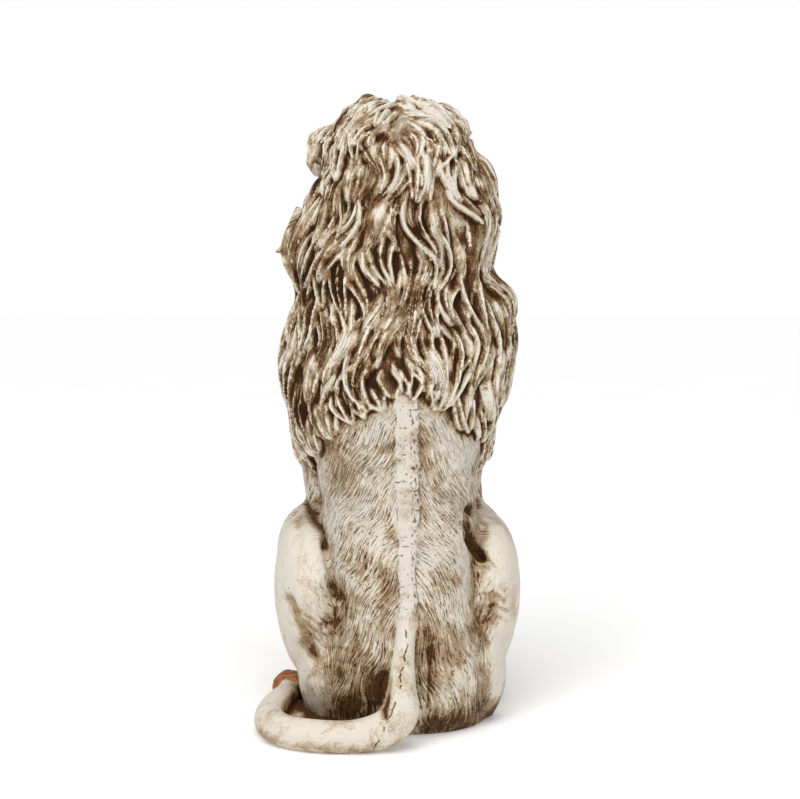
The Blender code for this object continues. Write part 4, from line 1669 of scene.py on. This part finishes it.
def mane_glaze(tree, groove, hollow, ridge, height, tone):
    across, far, seed = parts_of(tree, measured(tree, "blade"))
    lines = placed(tree, strands, {"Strand": measured(tree, "strand")})
    slide = total(tree, across, spread(tree, seed, -0.60, 0.60))
    middle = remap(tree, reckon(tree, "ABSOLUTE", slide), 0.85, 0.30)
    scoop = product(tree, middle, remap(tree, height, 1.0, 4.0))
    body = spread(tree, reckon(tree, "FRACT", product(tree, seed, 7.3)), 0.02, 0.50)
    marks = total(
        tree,
        product(tree, lines["Ridges"], -0.18),
        product(tree, lines["Furrows"], 0.24),
        spread(tree, lines["Streaks"], -0.13, 0.13),
        remap(tree, far, 0.55, 1.0, 0.0, -0.22),
    )
    depth = total(
        tree,
        total(tree, tone, MANE_WASH),
        product(tree, scoop, body),
        remap(tree, groove, 0.05, 0.70, 0.0, 0.55),
        remap(tree, hollow, -0.8, 2.6, 0.0, 0.28),
        remap(tree, height, 4.5, 0.4, 0.0, 0.10),
    )
    held = placed(tree, glaze, {"Depth": depth, "Marks": marks, "Crest": ridge, **MANE_WIPING})
    return spread(tree, held["Glaze"], 0.03, 1.0), lines


# %% [markdown]
# The coat of the back and the legs is painted more lightly: single brown strokes, soft stains, and a little
# glaze left in the dips. The band of the spine was wiped almost clean. The reliefs are in millimetres, as
# the bump's own distance is.


# %% Glaze on the coat
COAT_WIPING = {"Wiped": 0.14, "Stain": 0.55, "Stain size mm": 38.0}


def coat_glaze(tree, hollow, ridge, tone):
    coat_place = measured(tree, "coat")
    seen = parts_of(tree, coat_place)[2]
    cuts = placed(tree, strokes, {"Coat": coat_place})
    band = placed(tree, band_marks_and_shade, {"Spine": measured(tree, "spine")})
    beside = reckon(tree, "SUBTRACT", 1.0, band["Band"])
    strong = product(tree, remap(tree, tone, 0.05, 0.3, 0.5, 1.0), seen)
    rough = product(tree, beside, strong)
    marks = product(tree, spread(tree, cuts["Combed"], -0.20, 0.20), rough)
    depth = total(tree, tone, remap(tree, hollow, 0.15, 2.4, 0.0, 0.45))
    held = placed(tree, glaze, {"Depth": depth, "Marks": marks, "Crest": ridge, **COAT_WIPING})["Glaze"]
    thick = remap(tree, held, 0.6, 1.0, 0.0, 0.40)
    brushed = total(tree, remap(tree, held, 0.04, 0.60, 0.06, 0.44), thick)
    cut = product(tree, cuts["Cut"], rough)
    scarred = highest(tree, band["Marks"], product(tree, band["Split"], remap(tree, seen, 0.3, 0.15)))
    scratched = total(tree, product(tree, cut, 0.55), product(tree, scarred, 0.55))
    painted = reckon(tree, "ADD", brushed, scratched, clamp=True)
    relief = total(
        tree,
        product(tree, cut, -1.1),
        product(tree, cuts["Combed"], rough, -0.6),
        product(tree, scarred, -0.9),
    )
    return painted, relief


# %% [markdown]
# ## The painted resin
#
# The mane's glaze and the coat's are mixed by the mane's mask, and the pinholes and the lines of the face
# are laid over them. Bare coat and the worn band are a trace greyer than the ivory of the locks. The same
# measurements that place the paint also give the fine relief, which is too small to model: it goes into a
# Bump node.


# %% Materials of the lion
BARE_GREY = (0.30, 0.31, 0.32, 1)
GREY_ON_BAND, GREY_ON_COAT = 0.22, 0.10
HOLE_GLAZE, TINT_GLAZE, LINE_GLAZE = 0.92, 0.42, 0.78
STRAND_RELIEF = {"Ridges": 0.6, "Furrows": -0.7, "Streaks": -0.5}  # in millimetres


def painted_resin(name, stops):
    material = bpy.data.materials.new(name)
    material.use_nodes = True
    tree = material.node_tree
    shader = tree.nodes["Principled BSDF"]
    crest, groove, hollow = parts_of(tree, measured(tree, "relief"))
    in_mane, tone, height = parts_of(tree, measured(tree, "places"))
    ridge = remap(tree, crest, 0.12, 0.56)
    in_locks, lines = mane_glaze(tree, groove, hollow, ridge, height, tone)
    in_coat, coat_relief = coat_glaze(tree, hollow, ridge, tone)
    hole = placed(tree, pinholes, {"Share kept": remap(tree, in_mane, 0, 1, 0.22, 0.45)})["Hole"]
    drawn = placed(tree, face_lines, {"Face": measured(tree, "face")})
    held = highest(tree, between(tree, in_mane, in_coat, in_locks), product(tree, hole, HOLE_GLAZE))
    held = reckon(tree, "ADD", held, product(tree, drawn["Tint"], TINT_GLAZE), clamp=True)
    held = highest(tree, held, product(tree, drawn["Lines"], LINE_GLAZE))

    on_band = product(tree, parts_of(tree, measured(tree, "spine"))[2], GREY_ON_BAND)
    on_coat = remap(tree, in_mane, 1.0, 0.0, 0.0, GREY_ON_COAT)
    grey = highest(tree, on_band, product(tree, on_coat, remap(tree, held, 0.36, 0.08)))
    colours = {0: grey, 6: ramp(tree, stops, held), 7: BARE_GREY}
    greyed = add(tree, "ShaderNodeMix", colours, data_type="RGBA").outputs[2]
    tree.links.new(greyed, shader.inputs["Base Color"])
    tree.links.new(spread(tree, held, 0.50, 0.66), shader.inputs["Roughness"])
    shader.inputs["Specular IOR Level"].default_value = 0.14

    strand_relief = total(tree, *(product(tree, lines[name], deep) for name, deep in STRAND_RELIEF.items()))
    surface = total(
        tree,
        between(tree, in_mane, coat_relief, strand_relief),
        product(tree, noise(tree, object_place(tree), 420.0, 3.0), 0.12),
        product(tree, hole, -1.0),
        product(tree, drawn["Lines"], -1.2),
    )
    bump = add(tree, "ShaderNodeBump", {"Height": surface, "Distance": MM, "Strength": 1.0})
    tree.links.new(bump.outputs[0], shader.inputs["Normal"])
    return material


lion.data.materials.clear()
lion.data.materials.append(painted_resin("ivory resin with brown glaze", IVORY))
lion.data.materials.append(painted_resin("ochre tuft with brown glaze", OCHRE))
tuft_faces = on_tuft[corners].reshape(-1, 3).mean(axis=1) > 0.5
lion.data.polygons.foreach_set("material_index", tuft_faces.astype(np.int32))
print("faces painted ochre:", int(tuft_faces.sum()))

# %% [markdown]
# ## Studio
#
# The statue was photographed from behind on a white table. The table is one large plane with a faint cloud
# in its white and a very low glow of its own, so that it meets the white surround without a line.


# %% Floor
def pale_floor():
    bpy.ops.mesh.primitive_plane_add(size=30)
    floor = bpy.context.object
    floor.name = "white_table"
    material = bpy.data.materials.new("white table")
    material.use_nodes = True
    tree = material.node_tree
    shader = tree.nodes["Principled BSDF"]
    cloud = noise(tree, object_place(tree), 3.0)
    white = ramp(tree, [(0.0, (0.92, 0.92, 0.92)), (1.0, (0.95, 0.95, 0.95))], cloud)
    tree.links.new(white, shader.inputs["Base Color"])
    tree.links.new(white, shader.inputs["Emission Color"])
    for name, value in (("Emission Strength", 0.14), ("Roughness", 0.9), ("Specular IOR Level", 0.1)):
        shader.inputs[name].default_value = value
    floor.data.materials.append(material)
    return floor


table = pale_floor()
print("the table:", table.name)

# %% [markdown]
# The light is soft and comes from all round, a little stronger from above and from the left. A broad
# overhead light makes the table white, and two soft lights model the back. The surround is dimmer for the
# statue than for the camera, which keeps the shadows in the hollows.


# %% Lights
SOFT_LIGHTS = [  # name, place, width in metres, power in watts
    ("left soft light", (1.5, 2.1, 1.5), 1.1, 16),
    ("right fill", (-1.9, 1.7, 1.0), 1.6, 7),
]
OVERHEAD_STRENGTH = 1.75
SURROUND_STRENGTH = 0.42


def new_light(name, kind, place, aim, power):
    data = bpy.data.lights.new(name, kind)
    data.energy = power
    made = bpy.data.objects.new(name, data)
    bpy.context.scene.collection.objects.link(made)
    made.location = place
    made.rotation_euler = (Vector(aim) - Vector(place)).to_track_quat("-Z", "Y").to_euler()
    return data


overhead = new_light("overhead", "SUN", (0.3, 1.0, 2.4), (0, 0, 0), OVERHEAD_STRENGTH)
overhead.angle = math.radians(50)
for name, place, size, power in SOFT_LIGHTS:
    soft = new_light(name, "AREA", place, (0, 0, 0.32), power)
    soft.shape = "DISK"
    soft.size = size

world = bpy.context.scene.world or bpy.data.worlds.new("surround")
bpy.context.scene.world = world
world.use_nodes = True
tree = world.node_tree
surround = tree.nodes["Background"]
surround.inputs["Color"].default_value = (1, 1, 1, 1)
seen = add(tree, "ShaderNodeLightPath").outputs["Is Camera Ray"]
tree.links.new(spread(tree, seen, SURROUND_STRENGTH, 1.0), surround.inputs["Strength"])
bpy.context.scene.view_settings.view_transform = "Standard"
print("lights:", [light.name for light in bpy.data.lights])

# %% [markdown]
# The camera stands a metre and a half behind the lion, a little higher than its shoulders and a few degrees
# to the left of straight behind, and looks slightly down.

# %% Camera
AZIMUTH = math.radians(175)
DISTANCE = 1.55
EYE_LEVEL = 0.43
LOOK_DOWN = math.radians(4.55)
LOOK_RIGHT = math.radians(0.07)
camera = bpy.data.objects.new("camera", bpy.data.cameras.new("camera"))
bpy.context.scene.collection.objects.link(camera)
bpy.context.scene.camera = camera
camera.data.lens = 70.0
camera.data.sensor_width = 36.0
stand = Vector((math.sin(AZIMUTH) * DISTANCE, -math.cos(AZIMUTH) * DISTANCE, EYE_LEVEL))
camera.location = stand - FIGURE_MIDDLE
camera.rotation_euler = (math.pi / 2 - LOOK_DOWN, 0, AZIMUTH - LOOK_RIGHT)
print("camera at", [round(v, 3) for v in camera.location])
